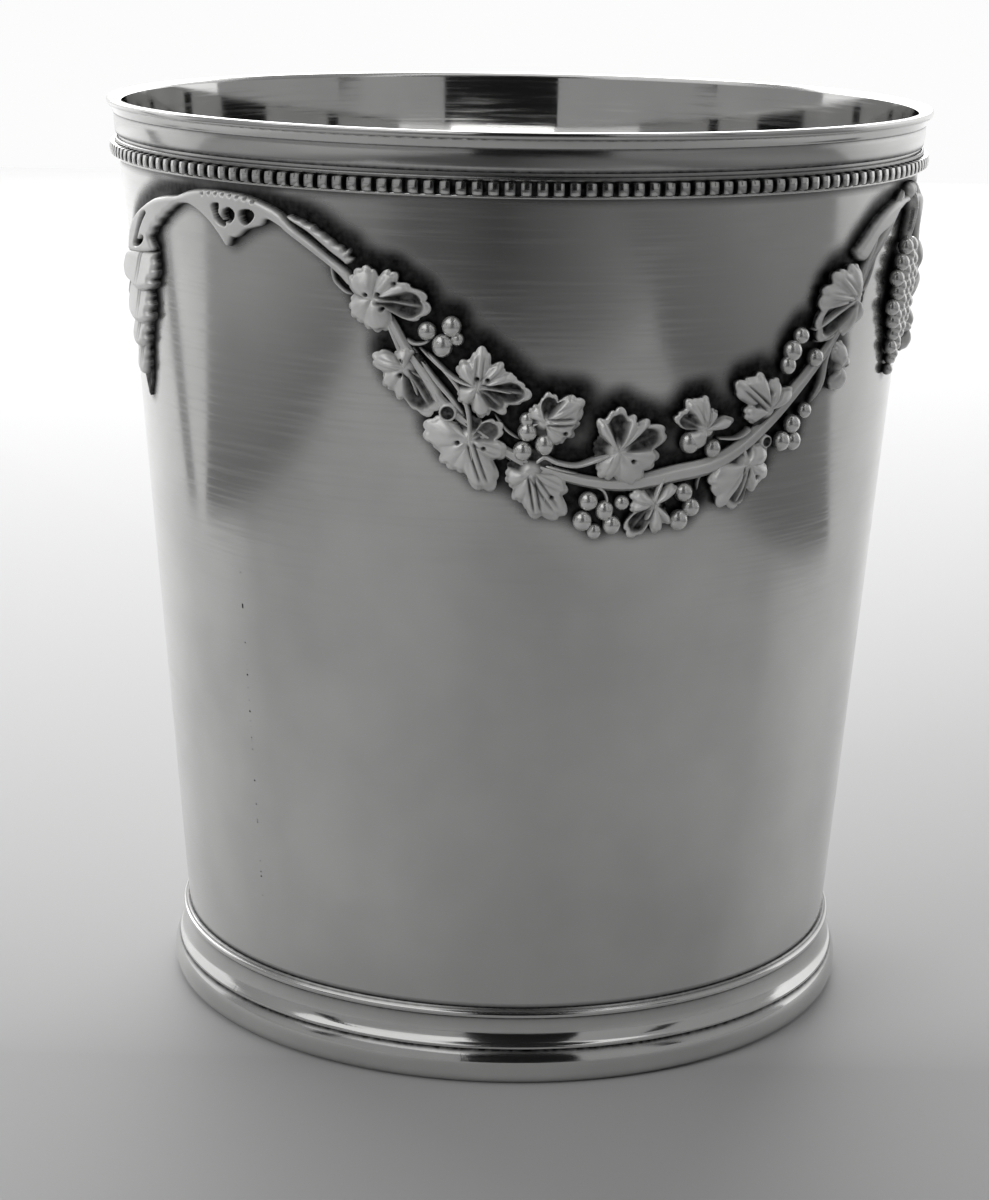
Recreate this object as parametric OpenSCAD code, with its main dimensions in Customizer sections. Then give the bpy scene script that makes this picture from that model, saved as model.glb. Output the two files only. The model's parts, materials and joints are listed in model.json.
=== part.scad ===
// Julep cup of sheet silver: a tapered beaker with a moulded lip, a beaded
// wire, a two-part foot and a grapevine garland soldered to its side.
// Millimetres. Z up, the origin on the table at the middle of the foot.
// Angles on the cup run from the front (-Y) and grow towards +X.

/* [Cup] */
// Height from the table to the top of the lip
cup_h = 92; // [84:1:104]
// Diameter over the lip
lip_d = 83; // [78:0.5:90]
// Diameter of the body at the top of the foot
waist_d = 68.3; // [64:0.1:72]
// Thickness of the sheet silver of the body
wall_t = 0.6; // [0.4:0.05:1]
// Thickness of the base plate
base_t = 0.7; // [0.5:0.05:1.2]
// Height of the underside of the base plate above the table
base_lift = 3; // [2:0.1:3.6]

/* [Lip] */
// Height of the lip moulding
lip_h = 3.6; // [2.8:0.1:5]
// How far the lip stands out from the line of the body
lip_out = 0.8; // [0.5:0.05:1.2]
// Thickness of the silver over the edge of the body wall
lip_cover = 0.5; // [0.3:0.05:0.8]

/* [Beaded wire] */
// Number of beads
bead_n = 180; // [120:1:200]
// Height of one bead
bead_h = 1.2; // [0.9:0.05:1.6]
// How far a bead stands out from the body
bead_out = 0.95; // [0.6:0.05:1]
// Height of the fillet above the beads
top_fillet_h = 0.45; // [0.3:0.05:0.7]
// Height of the fillet below the beads
low_fillet_h = 0.3; // [0.2:0.05:0.6]
// Gap between the lip moulding and the beaded wire
wire_gap = 0.3; // [0.1:0.05:0.6]

/* [Foot] */
// Height of the whole foot
foot_h = 7.5; // [6:0.1:9]
// Height of the lower ring of the foot
ring_h = 3.6; // [2.4:0.1:4.4]
// Diameter over the lower ring
ring_d = 71.4; // [70:0.1:76]
// How far the lower edge of the upper band stands out from the body
band_out = 1.35; // [0.9:0.05:1.6]
// Thickness of the ledge that the body wall stands on
ledge_t = 0.5; // [0.3:0.05:1]

/* [Garland] */
// Fall of a swag from the beaded wire to its lowest leaf
swag_drop = 30; // [26:0.5:36]
// Length of the largest vine leaf
leaf_l = 7; // [5.6:0.1:7.6]
// Height of a leaf's crown over the body
leaf_h = 1.8; // [1.3:0.05:2.1]
// Height of a leaf's edge over the body
leaf_edge = 0.8; // [0.5:0.05:1.1]
// Depth of the veins cut into a leaf
vein_d = 0.3; // [0.15:0.05:0.4]
// Diameter of a berry
berry_d = 1.8; // [1.4:0.05:2]
// Width of the vine at its thickest
vine_w = 1.7; // [1.2:0.05:2]
// Height of the vine over the body
vine_h = 1.2; // [0.8:0.05:1.5]
// Width of the pierced knot under an arch
knot_w = 8; // [6:0.1:9]
// Fall of the pierced knot from the arch to its tip
knot_h = 4.4; // [3.6:0.1:5]
// Thickness of the pierced knot
knot_t = 1; // [0.6:0.05:1.3]
// Length of the toothed strip beside an arch
strip_l = 7.6; // [6:0.1:9]
// Width of the toothed strips
strip_w = 1.7; // [1:0.05:2.2]
// Length of the toothed strip beside the front knot
front_strip_l = 9; // [7:0.1:10]
// Thickness of the toothed strips
strip_t = 0.9; // [0.5:0.05:1.3]
// Length of the drop of leaves that hangs beside an arch
tail_l = 15.6; // [12:0.1:18]
// Width of the drop of leaves at its top
tail_w = 9.6; // [7:0.1:11]
// Height of the drop of leaves over the body
tail_h = 1.7; // [1.1:0.05:1.8]
// Length of the roll at the front knot
roll_l = 3.4; // [2.4:0.1:4.4]
// Diameter of the roll at the front knot
roll_d = 2.2; // [1.6:0.05:2.4]
// Diameter of a grape in the hanging bunch
grape_d = 1.7; // [1.4:0.05:1.8]

/* [Hidden] */
$fn = 360;
ball_fn = 64;
bunch_rows = [2, 3, 4, 3, 4, 3, 2, 2, 1];
leaf_n = 13;
cluster_n = 7;
sides = ["left", "right"];
function names(stem, n) =
    [for (side = sides) for (i = [1:n]) str(side, "_", stem, "_", i)];
function pair(stem) = [for (side = sides) str(side, "_", stem)];

silver = "silver";
pale = "gainsboro";
over = 1;

waist_r = waist_d / 2;
neck_r = lip_d / 2 - lip_out;
slope = (neck_r - waist_r) / (cup_h - foot_h);
lean = atan(slope);
wall_top = cup_h - lip_cover;
lip_z = cup_h - lip_h;
wire_top = lip_z - wire_gap;
bead_top = wire_top - top_fillet_h;
bead_z = bead_top - bead_h;
wire_z = bead_z - low_fillet_h;
hang_z = wire_z - low_fillet_h;

// Radius of the body's outside, and of its inside, at a height
function body_r(z) = waist_r + slope * (z - foot_h);
function inner_r(z) = body_r(z) - wall_t;
// Height of a place on the garland, from its share of the swag's fall
function drop_z(share) = hang_z - share * swag_drop;
// A ring's outline from shares of its reach and height, outside the body
function outside(shares, reach, low, high) =
    [for (p = shares) let (z = low + p[1] * (high - low)) [body_r(z) + p[0] * reach, z]];

// Profile of the lip from its lower edge to the top, outwards from the body
lip_shares = [[0, 0], [0.16, 0], [0.24, 0.06], [0.3, 0.22], [0.3, 0.42], [0.26, 0.56],
    [0.34, 0.6], [0.42, 0.7], [0.6, 0.79], [0.86, 0.84], [1, 0.88], [1.02, 0.92],
    [0.96, 0.96], [0.8, 0.99], [0.55, 1], [-0.35, 1]];
// Profile of the foot's upper band from its lower edge to the body
band_shares = [[0, 0], [0.98, 0], [1, 0.04], [0.96, 0.08], [0.72, 0.15], [0.5, 0.27],
    [0.38, 0.42], [0.33, 0.58], [0.34, 0.72], [0.36, 0.77], [0.46, 0.79], [0.5, 0.84],
    [0.46, 0.9], [0.3, 0.96], [0.14, 1], [0, 1]];
// Profile of the foot's lower ring, from the table up
ring_shares = [[0.42, 0], [0.66, 0.05], [0.86, 0.16], [0.97, 0.32], [1, 0.48],
    [0.97, 0.64], [0.88, 0.78], [0.74, 0.89], [0.6, 0.95], [0.56, 1]];

// Half outline of a vine leaf: across in widths, along from stalk to tip
leaf_half_shares = [[0.07, 0.02], [0.19, -0.1], [0.35, -0.09], [0.33, 0.03], [0.49, 0.07],
    [0.5, 0.23], [0.38, 0.27], [0.3, 0.35], [0.45, 0.43], [0.46, 0.58], [0.35, 0.68],
    [0.22, 0.62], [0.19, 0.56], [0.23, 0.72], [0.17, 0.87], [0.06, 0.9]];
leaf_tip_share = 1;
leaf_mid_share = 0.44;
// Veins of a leaf, as one star cut from the stalk to the lobes
vein_half_shares = [[0.02, 0], [0.36, 0.16], [0.025, 0.08], [0.32, 0.5], [0.03, 0.18]];
vein_tip_share = 0.84;

// Leaves of the left swag: angle, fall share, length share, width share,
// and the direction of the tip, from 0 to the right and 90 upwards
leaf_place_shares = [
    [-86.5, 0.3, 0.98, 0.96, -7],
    [-83.8, 0.55, 0.88, 0.74, -60],
    [-72, 0.54, 0.87, 0.87, -12],
    [-74.8, 0.73, 0.9, 1, -85],
    [-63, 0.65, 0.62, 0.64, 10],
    [-65.4, 0.88, 0.74, 0.77, -72],
    [-55.3, 0.75, 0.92, 0.88, 86],
    [-44, 0.63, 0.56, 0.56, 100],
    [-50.3, 0.96, 0.62, 0.68, -110],
    [-35, 0.6, 0.76, 0.72, 145],
    [-37, 0.87, 0.74, 0.84, -100],
    [-19.5, 0.56, 0.42, 0.38, -80],
    [-20.4, 0.33, 0.97, 0.92, -138]];
// Berry clusters of the left swag: angle, fall share, and the places of the
// berries in berry diameters
berry_place_shares = [
    [-78.5, 0.4, [[-0.75, 0.15], [0.45, 0.4], [-0.05, -0.6], [0.8, -0.25]]],
    [-67, 0.71, [[0, 0.25], [-0.3, -0.75], [0.85, -0.4], [0.1, 1]]],
    [-56.7, 0.95, [[-0.7, 0.75], [-1, -0.3], [0.05, 0], [0.9, 0.65], [-0.45, -1], [0.6, -0.9]]],
    [-42.7, 0.73, [[0.15, 0.45], [-0.7, -0.25], [0.5, -0.5]]],
    [-44.6, 0.94, [[-0.1, 0.8], [0.5, -0.05], [-0.4, -0.7]]],
    [-27.3, 0.48, [[-0.3, -0.1], [0.2, 0.8], [-0.65, -0.95], [0.7, -0.35]]],
    [-27, 0.73, [[-0.05, 0.2], [-0.75, -0.5], [0.25, -0.75], [0.75, 0.75]]]];
// Vine of the left swag from the front to the arch: angle, fall share, and
// its width and height as shares of the thickest
vine_place_shares = [
    [-3.5, 0.03, 0.7, 0.7], [-6.5, 0.08, 0.8, 0.8], [-10, 0.16, 0.75, 0.8],
    [-13, 0.23, 0.6, 0.7], [-16, 0.33, 0.55, 0.7], [-21, 0.47, 0.6, 0.75],
    [-25, 0.55, 0.75, 0.85], [-28.5, 0.62, 0.85, 0.9], [-32.2, 0.69, 0.9, 0.95],
    [-36.5, 0.76, 0.9, 1], [-41.2, 0.81, 1, 1], [-47, 0.83, 1, 1], [-52.3, 0.85, 0.9, 1],
    [-57, 0.85, 0.7, 0.9], [-62.8, 0.82, 0.65, 0.9], [-67.7, 0.78, 0.65, 0.85],
    [-72.6, 0.71, 0.65, 0.8], [-77.5, 0.63, 0.7, 0.9], [-80, 0.55, 0.65, 0.9],
    [-83, 0.45, 0.6, 0.85], [-86, 0.37, 0.6, 0.8], [-90.4, 0.26, 0.6, 0.8],
    [-93.4, 0.2, 0.6, 0.75], [-97, 0.14, 0.65, 0.8], [-101, 0.08, 0.75, 0.85]];
// The arch over the side, from the end of the vine to the hook
arch_place_shares = [
    [-101, 0.08, 0.75, 0.85], [-104.5, 0.04, 0.75, 0.9], [-108, 0.03, 0.7, 0.9],
    [-112, 0.03, 0.7, 0.9], [-116.5, 0.045, 0.75, 0.85], [-120.5, 0.075, 0.8, 0.8],
    [-124.5, 0.1, 0.85, 0.75], [-128, 0.14, 0.8, 0.75], [-130.5, 0.18, 0.6, 0.75],
    [-131.5, 0.21, 0.4, 0.7]];
path_steps = 3;

// A point on the body, and the direction straight out of it
function on_body(angle, z) = [body_r(z) * sin(angle), -body_r(z) * cos(angle), z];
function out_of(angle) =
    [cos(lean) * sin(angle), -cos(lean) * cos(angle), -sin(lean)];
// A smooth curve through the places of a path
function bend(a, b, c, d, t) =
    b + (c - a) * t / 2 + (2 * a - 5 * b + 4 * c - d) * t * t / 2
    + (3 * b - a - 3 * c + d) * t * t * t / 2;
function smooth(p) =
    let (n = len(p) - 1)
    [for (i = [0:n - 1]) for (k = [0:path_steps - (i == n - 1 ? 0 : 1)])
        bend(p[max(i - 1, 0)], p[i], p[i + 1], p[min(i + 2, n)], k / path_steps)];
// Section of a vine: a low arch that stands on the body
vine_section_shares = [[-0.5, 0], [-0.46, 0.45], [-0.28, 0.85], [0, 1], [0.28, 0.85],
    [0.46, 0.45], [0.5, 0]];
arch_root_share = -0.4;

// A rib of arched section laid along a path on the body, its root at a share
// of its height
module rib(places, root_share) {
    path = smooth(places);
    section = [for (s = vine_section_shares) [s[0], s[1] == 0 ? root_share : s[1]]];
    m = len(section);
    last = len(path) - 1;
    mids = [for (p = path) on_body(p[0], drop_z(p[1]))];
    points = [for (i = [0:last])
        let (p = path[i],
             out = out_of(p[0]),
             along = mids[min(i + 1, last)] - mids[max(i - 1, 0)],
             across = cross(out, along) / norm(along))
        for (s = section)
            mids[i] + across * s[0] * p[2] * vine_w + out * s[1] * p[3] * vine_h];
    walls = [for (i = [0:last - 1]) for (j = [0:m - 1])
        let (a = i * m + j, b = i * m + (j + 1) % m)
        each [[a, b, b + m], [a, b + m, a + m]]];
    ends = [for (j = [1:m - 2]) each
        [[0, j + 1, j], [last * m, last * m + j, last * m + j + 1]]];
    polyhedron(points = points, faces = concat(walls, ends));
}

// Stands its children on the body: X to the right, Y up, Z out of the wall
module stand(angle, z)
    rotate([0, 0, angle])
        translate([0, -body_r(z), z])
            rotate([90 + lean, 0, 0])
                children();

// Everything inside the outer face of the body
module body_core()
    cylinder(h = cup_h, r1 = body_r(0), r2 = body_r(cup_h));

// The right side of the garland is the left side mirrored
module on_side(side)
    mirror([side == "right" ? 1 : 0, 0, 0])
        children();

function leaf_points(l, w) =
    let (half = [for (p = leaf_half_shares) [p[0] * w, (p[1] - leaf_mid_share) * l]],
         n = len(half) - 1)
    concat(half, [[0, (leaf_tip_share - leaf_mid_share) * l]],
        [for (i = [n:-1:0]) [-half[i][0], half[i][1]]]);
function vein_points(l, w) =
    let (half = [for (p = vein_half_shares) [p[0] * w, (p[1] - leaf_mid_share) * l]],
         n = len(half) - 1)
    concat(half, [[0, (vein_tip_share - leaf_mid_share) * l]],
        [for (i = [n:-1:0]) [-half[i][0], half[i][1]]]);

// A vine leaf with a crowned face and cut veins
module leaf_form(l, w) {
    reach = l * (leaf_tip_share - leaf_mid_share);
    rise = leaf_h - leaf_edge;
    dome_r = (reach * reach + rise * rise) / (2 * rise);
    difference() {
        intersection() {
            translate([0, 0, -leaf_edge])
                linear_extrude(height = leaf_edge + leaf_h)
                    polygon(leaf_points(l, w));
            translate([0, 0, leaf_h - dome_r])
                sphere(r = dome_r, $fn = ball_fn);
        }
        difference() {
            linear_extrude(height = leaf_h + over)
                polygon(vein_points(l, w));
            translate([0, 0, leaf_h - dome_r])
                sphere(r = dome_r - vein_d, $fn = ball_fn);
        }
    }
}

// How far apart two places of the garland are, over the body
function apart(a, b) =
    norm([(a[0] - b[0]) * PI / 180 * body_r(drop_z((a[1] + b[1]) / 2)),
        (a[1] - b[1]) * swag_drop]);

module leaf(i) {
    place = leaf_place_shares[i];
    color(pale)
    difference() {
        stand(place[0], drop_z(place[1]))
            rotate([0, 0, place[4] - 90])
                leaf_form(place[2] * leaf_l, place[3] * leaf_l);
        body_core();
        for (cluster = berry_place_shares)
            if (apart(place, cluster) < leaf_l / 2 + 2 * berry_d)
                berry_spheres(cluster);
    }
}

module berry_spheres(cluster)
    stand(cluster[0], drop_z(cluster[1]))
        for (spot = cluster[2])
            translate([spot[0] * berry_d, spot[1] * berry_d, berry_d / 4])
                sphere(d = berry_d, $fn = ball_fn);

module berries(i)
    color(silver)
    difference() {
        berry_spheres(berry_place_shares[i]);
        body_core();
    }

// The footprint of a leaf, where it lies over the vine
module leaf_block(place)
    stand(place[0], drop_z(place[1]))
        rotate([0, 0, place[4] - 90])
            translate([0, 0, -leaf_h])
                linear_extrude(height = 3 * leaf_h)
                    polygon(leaf_points(place[2] * leaf_l, place[3] * leaf_l));

module vine()
    color(silver)
    difference() {
        rib(vine_place_shares, 0);
        for (place = leaf_place_shares)
            leaf_block(place);
        for (cluster = berry_place_shares)
            berry_spheres(cluster);
    }

// A flat piece of the garland with a back that fits the body
module plate(points, t)
    translate([0, 0, -t])
        linear_extrude(height = 2 * t)
            polygon(points);

// The pierced knot hangs under the arch: its outline, and the places and
// sizes of its openings, in shares of its width and fall
knot_place_shares = [-109, 0.03];
knot_shares = [[-0.46, 0], [-0.22, 0.05], [0.2, 0.02], [0.52, -0.1], [0.44, -0.34],
    [0.28, -0.5], [0.12, -0.74], [0.03, -0.7], [0, -1], [-0.06, -0.98], [-0.24, -0.48]];
knot_slit_shares = [[-0.24, -0.18], [-0.17, -0.16], [-0.15, -0.36], [-0.08, -0.5],
    [-0.12, -0.54], [-0.19, -0.42]];
knot_hole_shares = [[0, -0.34, 0.065], [0.26, -0.36, 0.085]];

module knot_form()
    difference() {
        plate([for (p = knot_shares) [p[0] * knot_w, p[1] * knot_h]], knot_t);
        translate([0, 0, -over])
            linear_extrude(height = knot_t + 2 * over) {
                polygon([for (p = knot_slit_shares) [p[0] * knot_w, p[1] * knot_h]]);
                for (p = knot_hole_shares)
                    translate([p[0] * knot_w, p[1] * knot_h])
                        circle(r = p[2] * knot_w, $fn = ball_fn);
            }
    }

module arch()
    color(pale)
    difference() {
        union() {
            rib(arch_place_shares, arch_root_share);
            stand(knot_place_shares[0], drop_z(knot_place_shares[1]))
                knot_form();
        }
        body_core();
    }

// A strip with a toothed upper edge, centred on its length
strip_shares = [[-0.5, 0], [0.5, 0], [0.48, 0.5], [0.4, 0.6], [0.37, 0.95], [0.28, 0.7],
    [0.23, 1], [0.13, 0.74], [0.07, 1], [-0.03, 0.76], [-0.09, 0.98], [-0.19, 0.7],
    [-0.25, 0.86], [-0.38, 0.46]];
// A strip lies along the vine: the two places of the vine that it follows
arch_strip_shares = [-91.5, 0.235, -98.5, 0.118];
front_strip_shares = [-5.5, 0.065, -15.5, 0.225];
strip_clearance = 0.1;

// The strip's middle and slope come from its run, seen square to the wall
module toothed_strip(run, l) {
    across = (run[0] - run[2]) * PI / 180 * body_r(drop_z(run[1]));
    slant = atan((drop_z(run[1]) - drop_z(run[3])) / across);
    color(pale)
    difference() {
        stand((run[0] + run[2]) / 2, drop_z((run[1] + run[3]) / 2))
            rotate([0, 0, slant])
                translate([0, vine_w / 2 + strip_clearance, 0])
                    plate([for (p = strip_shares) [p[0] * l, p[1] * strip_w]], strip_t);
        body_core();
    }
}
module arch_strip()
    toothed_strip(arch_strip_shares, strip_l);
module front_strip()
    toothed_strip(front_strip_shares, front_strip_l);

// The drop of leaves: each leaf's fall, width and length in shares of the
// drop. Each one rises towards its tip, which lies over the next
tail_place_shares = [-136, 0.21];
tail_lobes_shares = [[0, 1, 0.36], [0.2, 0.88, 0.34], [0.39, 0.72, 0.33], [0.56, 0.54, 0.31],
    [0.71, 0.34, 0.29]];
tail_root_share = 0.3;
tail_crown_share = 0.85;
lobe_half_shares = [[0.3, 0.1], [0.47, 0], [0.5, -0.2], [0.42, -0.34], [0.46, -0.48],
    [0.33, -0.6], [0.34, -0.74], [0.18, -0.84], [0.1, -0.95]];

module tail_lobe(w, l) {
    half = [for (p = lobe_half_shares) [p[0] * w, p[1] * l]];
    n = len(half) - 1;
    rise = tail_h * (1 - tail_root_share);
    dome_r = (l * l + rise * rise) / (2 * rise);
    intersection() {
        plate(concat(half, [[0, -l]], [for (i = [n:-1:0]) [-half[i][0], half[i][1]]]), tail_h);
        translate([0, -l * tail_crown_share, tail_h - dome_r])
            sphere(r = dome_r, $fn = ball_fn);
    }
}

module tail_drop()
    color(pale)
    difference() {
        for (lobe = tail_lobes_shares)
            stand(tail_place_shares[0], drop_z(tail_place_shares[1]) - lobe[0] * tail_l)
                tail_lobe(lobe[1] * tail_w, lobe[2] * tail_l);
        body_core();
    }

// The roll at the front, from which both swags and the grapes hang
knot_drop_share = 0.03;
stem_share = 0.5;
stem_end_share = 0.18;

roll_half_shares = [[0, 0.5], [0.24, 0.47], [0.38, 0.36], [0.42, 0.26], [0.38, 0.18], [0.36, 0]];
roll_points = concat(
    [for (p = roll_half_shares) [p[0] * roll_d, p[1] * roll_l]],
    [for (i = [len(roll_half_shares) - 2:-1:0])
        [roll_half_shares[i][0] * roll_d, -roll_half_shares[i][1] * roll_l]]);

module roll_form()
    stand(0, drop_z(knot_drop_share))
        translate([0, 0, roll_d / 8])
            rotate([0, 90, 0])
                rotate_extrude($fn = ball_fn)
                    polygon(roll_points);

module front_knot()
    color(pale)
    difference() {
        roll_form();
        body_core();
    }

// The bunch: rows of grapes on a core that is as wide as each row
grape_step = 1.04 * grape_d;
row_step = 0.88 * grape_d;
core_t = 0.2 * grape_d;
grape_lift = 0.53 * grape_d;
bunch_last = len(bunch_rows) - 1;
function row_half(row) = ((bunch_rows[row] - 1) * grape_step + grape_d) / 2;
core_points = concat(
    [[-row_half(0), grape_d / 2]],
    [for (row = [0:bunch_last]) [-row_half(row), -row * row_step]],
    [[0, -bunch_last * row_step - grape_d / 2]],
    [for (row = [bunch_last:-1:0]) [row_half(row), -row * row_step]],
    [[row_half(0), grape_d / 2]]);

module grape_pendant() {
    top_z = drop_z(stem_end_share) - grape_d / 2;
    stem_l = drop_z(knot_drop_share) - top_z;
    color(silver)
    difference() {
        union() {
            stand(0, top_z) {
                for (row = [0:bunch_last])
                    for (k = [0:bunch_rows[row] - 1])
                        translate([(k - (bunch_rows[row] - 1) / 2) * grape_step,
                            -row * row_step, grape_lift])
                            sphere(d = grape_d, $fn = ball_fn);
                plate(core_points, core_t);
            }
            stand(0, drop_z(knot_drop_share))
                translate([0, 0, roll_d / 4])
                    rotate([90, 0, 0])
                        cylinder(d = roll_d * stem_share, h = stem_l, $fn = ball_fn);
        }
        body_core();
        roll_form();
    }
}

// The tapered wall, rolled from sheet and open at both ends
module body_wall()
    color(silver)
    rotate_extrude()
        polygon([[inner_r(ledge_t), ledge_t], [body_r(ledge_t), ledge_t],
            [body_r(wall_top), wall_top], [inner_r(wall_top), wall_top]]);

// The round base plate, let into the wall from above
module base_plate()
    color(silver)
    rotate_extrude()
        polygon([[0, base_lift], [inner_r(base_lift), base_lift],
            [inner_r(base_lift + base_t), base_lift + base_t], [0, base_lift + base_t]]);

// The lip lies along the wall's outside and folds over its edge
module lip_moulding()
    color(silver)
    rotate_extrude()
        polygon(concat(outside(lip_shares, lip_out, lip_z, cup_h),
            [[inner_r(cup_h) + lip_cover / 4, cup_h - lip_cover / 4],
                [inner_r(wall_top), wall_top], [body_r(wall_top), wall_top]]));

// Outline of the row of beads: a crown of chamfered teeth
bead_tooth_shares = [[0.14, 0.3], [0.2, 0.86], [0.32, 1], [0.68, 1], [0.8, 0.86], [0.86, 0.3]];
bead_core_share = 0.25;
bead_bed_share = 0.15;
low_fillet_share = 0.5;
top_fillet_share = 0.62;
bead_root = body_r(bead_z);
// Section of a fillet from its lower inner corner round to its upper one
function fillet_points(reach_share, low, high) =
    let (r = bead_root + reach_share * bead_out, soft = (high - low) / 4)
    [[r - soft, low], [r, low + soft], [r, high - soft], [r - soft, high]];
wire_points = concat(
    [[body_r(wire_z), wire_z]],
    fillet_points(low_fillet_share, wire_z, bead_z),
    [for (z = [bead_z, bead_top]) [bead_root + bead_core_share * bead_out, z]],
    fillet_points(top_fillet_share, bead_top, wire_top),
    [[body_r(wire_top), wire_top]]);

module beaded_wire()
    color(silver) {
        rotate_extrude()
            polygon(wire_points);
        translate([0, 0, bead_z])
            linear_extrude(height = bead_h)
                difference() {
                    polygon([for (i = [0:bead_n - 1]) for (p = bead_tooth_shares)
                        let (r = bead_root + p[1] * bead_out, a = (i + p[0]) * 360 / bead_n)
                        [r * cos(a), r * sin(a)]]);
                    circle(r = bead_root + bead_bed_share * bead_out);
                }
    }

// The upper band of the foot, soldered round the wall
module foot_band()
    color(silver)
    rotate_extrude()
        polygon(outside(band_shares, band_out, ring_h, foot_h));

// The lower ring of the foot, with the ledge that the wall stands on
module foot_ring()
    color(silver)
    rotate_extrude()
        polygon(concat([[inner_r(ledge_t), 0]],
            [for (p = ring_shares) [waist_r + p[0] * (ring_d / 2 - waist_r), p[1] * ring_h]],
            [[body_r(ring_h), ring_h], [body_r(ledge_t), ledge_t], [inner_r(ledge_t), ledge_t]]));

body_wall();
base_plate();
lip_moulding();
beaded_wire();
foot_band();
foot_ring();
front_knot();
grape_pendant();
for (side = sides) {
    on_side(side) vine();
    on_side(side) arch();
    on_side(side) arch_strip();
    on_side(side) front_strip();
    on_side(side) tail_drop();
    for (i = [1:leaf_n])
        on_side(side) leaf(i - 1);
    for (i = [1:cluster_n])
        on_side(side) berries(i - 1);
}
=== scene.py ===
"""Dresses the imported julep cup: chased garland, mouldings, beads, polished body, and its stage."""

import json
import math

import bmesh
import bpy
import numpy as np
from bpy.props import FloatProperty, FloatVectorProperty, IntProperty, PointerProperty
from mathutils import Matrix, Vector
from mathutils.kdtree import KDTree

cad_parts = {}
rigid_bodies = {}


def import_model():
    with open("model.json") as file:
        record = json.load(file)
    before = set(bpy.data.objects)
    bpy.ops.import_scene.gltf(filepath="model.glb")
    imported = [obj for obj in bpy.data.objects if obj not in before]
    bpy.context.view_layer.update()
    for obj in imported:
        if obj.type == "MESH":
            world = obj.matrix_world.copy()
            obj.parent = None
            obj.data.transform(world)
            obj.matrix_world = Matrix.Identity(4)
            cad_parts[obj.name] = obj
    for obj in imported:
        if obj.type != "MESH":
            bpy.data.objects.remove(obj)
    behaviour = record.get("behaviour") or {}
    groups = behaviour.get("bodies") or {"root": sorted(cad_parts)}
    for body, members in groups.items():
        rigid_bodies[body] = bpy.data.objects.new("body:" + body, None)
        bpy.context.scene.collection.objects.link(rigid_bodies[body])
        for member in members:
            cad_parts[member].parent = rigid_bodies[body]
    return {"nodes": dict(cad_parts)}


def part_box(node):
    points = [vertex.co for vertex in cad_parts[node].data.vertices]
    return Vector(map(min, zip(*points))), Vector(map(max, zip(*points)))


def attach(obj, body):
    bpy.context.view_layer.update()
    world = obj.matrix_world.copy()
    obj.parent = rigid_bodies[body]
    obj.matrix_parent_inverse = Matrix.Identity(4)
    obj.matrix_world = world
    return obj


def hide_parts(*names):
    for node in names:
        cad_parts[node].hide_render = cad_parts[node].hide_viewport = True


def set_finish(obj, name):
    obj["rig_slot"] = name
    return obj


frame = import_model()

bl_info = {
    "name": "Julep cup",
    "version": (1, 0, 0),
    "blender": (4, 5, 0),
    "location": "View3D > Sidebar > Julep cup",
    "description": "A silver julep cup with a chased grapevine garland",
    "category": "Object",
}

MM = 0.001
FULL_TURN = 2 * math.pi
BODY = "root"
POLISHED = "polished_silver"
MOULDED = "moulding_silver"
CHASED = "chased_silver"
# The darkness attribute holds painted shade in hollows, creases and corners, together with tarnish
DARKNESS = "tarnish_and_shade"
SIDES = {"left": 1, "right": -1}
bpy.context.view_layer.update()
# How near the end of a node its last vertices lie, and how near vertices are joined
END = 0.05 * MM
MERGE = 0.001 * MM
# Edges sharper than this, in degrees, stay crisp on the turned pieces and the wire
CRISP = 50
WIRE_CRISP = 60
# The fall share under which the wall is bare
GARLAND_END = 1.25


# Shape of the cup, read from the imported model


def end_radius(node, top):
    """Largest radius of a node at its top or its bottom, and the height of that end."""
    low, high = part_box(node)
    end = high.z if top else low.z
    points = [v.co for v in frame["nodes"][node].data.vertices]
    return max(p.xy.length for p in points if abs(p.z - end) < END), end


WALL_TOP_R, WALL_TOP_Z = end_radius("body_wall", True)
WALL_LOW_R, WALL_LOW_Z = end_radius("body_wall", False)
SLOPE = (WALL_TOP_R - WALL_LOW_R) / (WALL_TOP_Z - WALL_LOW_Z)
LEAN = math.atan(SLOPE)
WALL_T = WALL_TOP_R - min(
    v.co.xy.length
    for v in frame["nodes"]["body_wall"].data.vertices
    if v.co.z > WALL_TOP_Z - END
)
BASE_LOW_Z, BASE_TOP_Z = (corner.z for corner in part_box("base_plate"))
LIP_LOW_Z, CUP_H = (corner.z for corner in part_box("lip_moulding"))
WIRE_LOW_Z, WIRE_TOP_Z = (corner.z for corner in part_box("beaded_wire"))
BAND_LOW_Z, FOOT_H = (corner.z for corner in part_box("foot_band"))
RING_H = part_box("foot_ring")[1].z
RING_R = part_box("foot_ring")[1].x
LIP_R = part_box("lip_moulding")[1].x


def body_radius(z):
    """Radius of the body's outside at a height."""
    return WALL_LOW_R + SLOPE * (z - WALL_LOW_Z)


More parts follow.
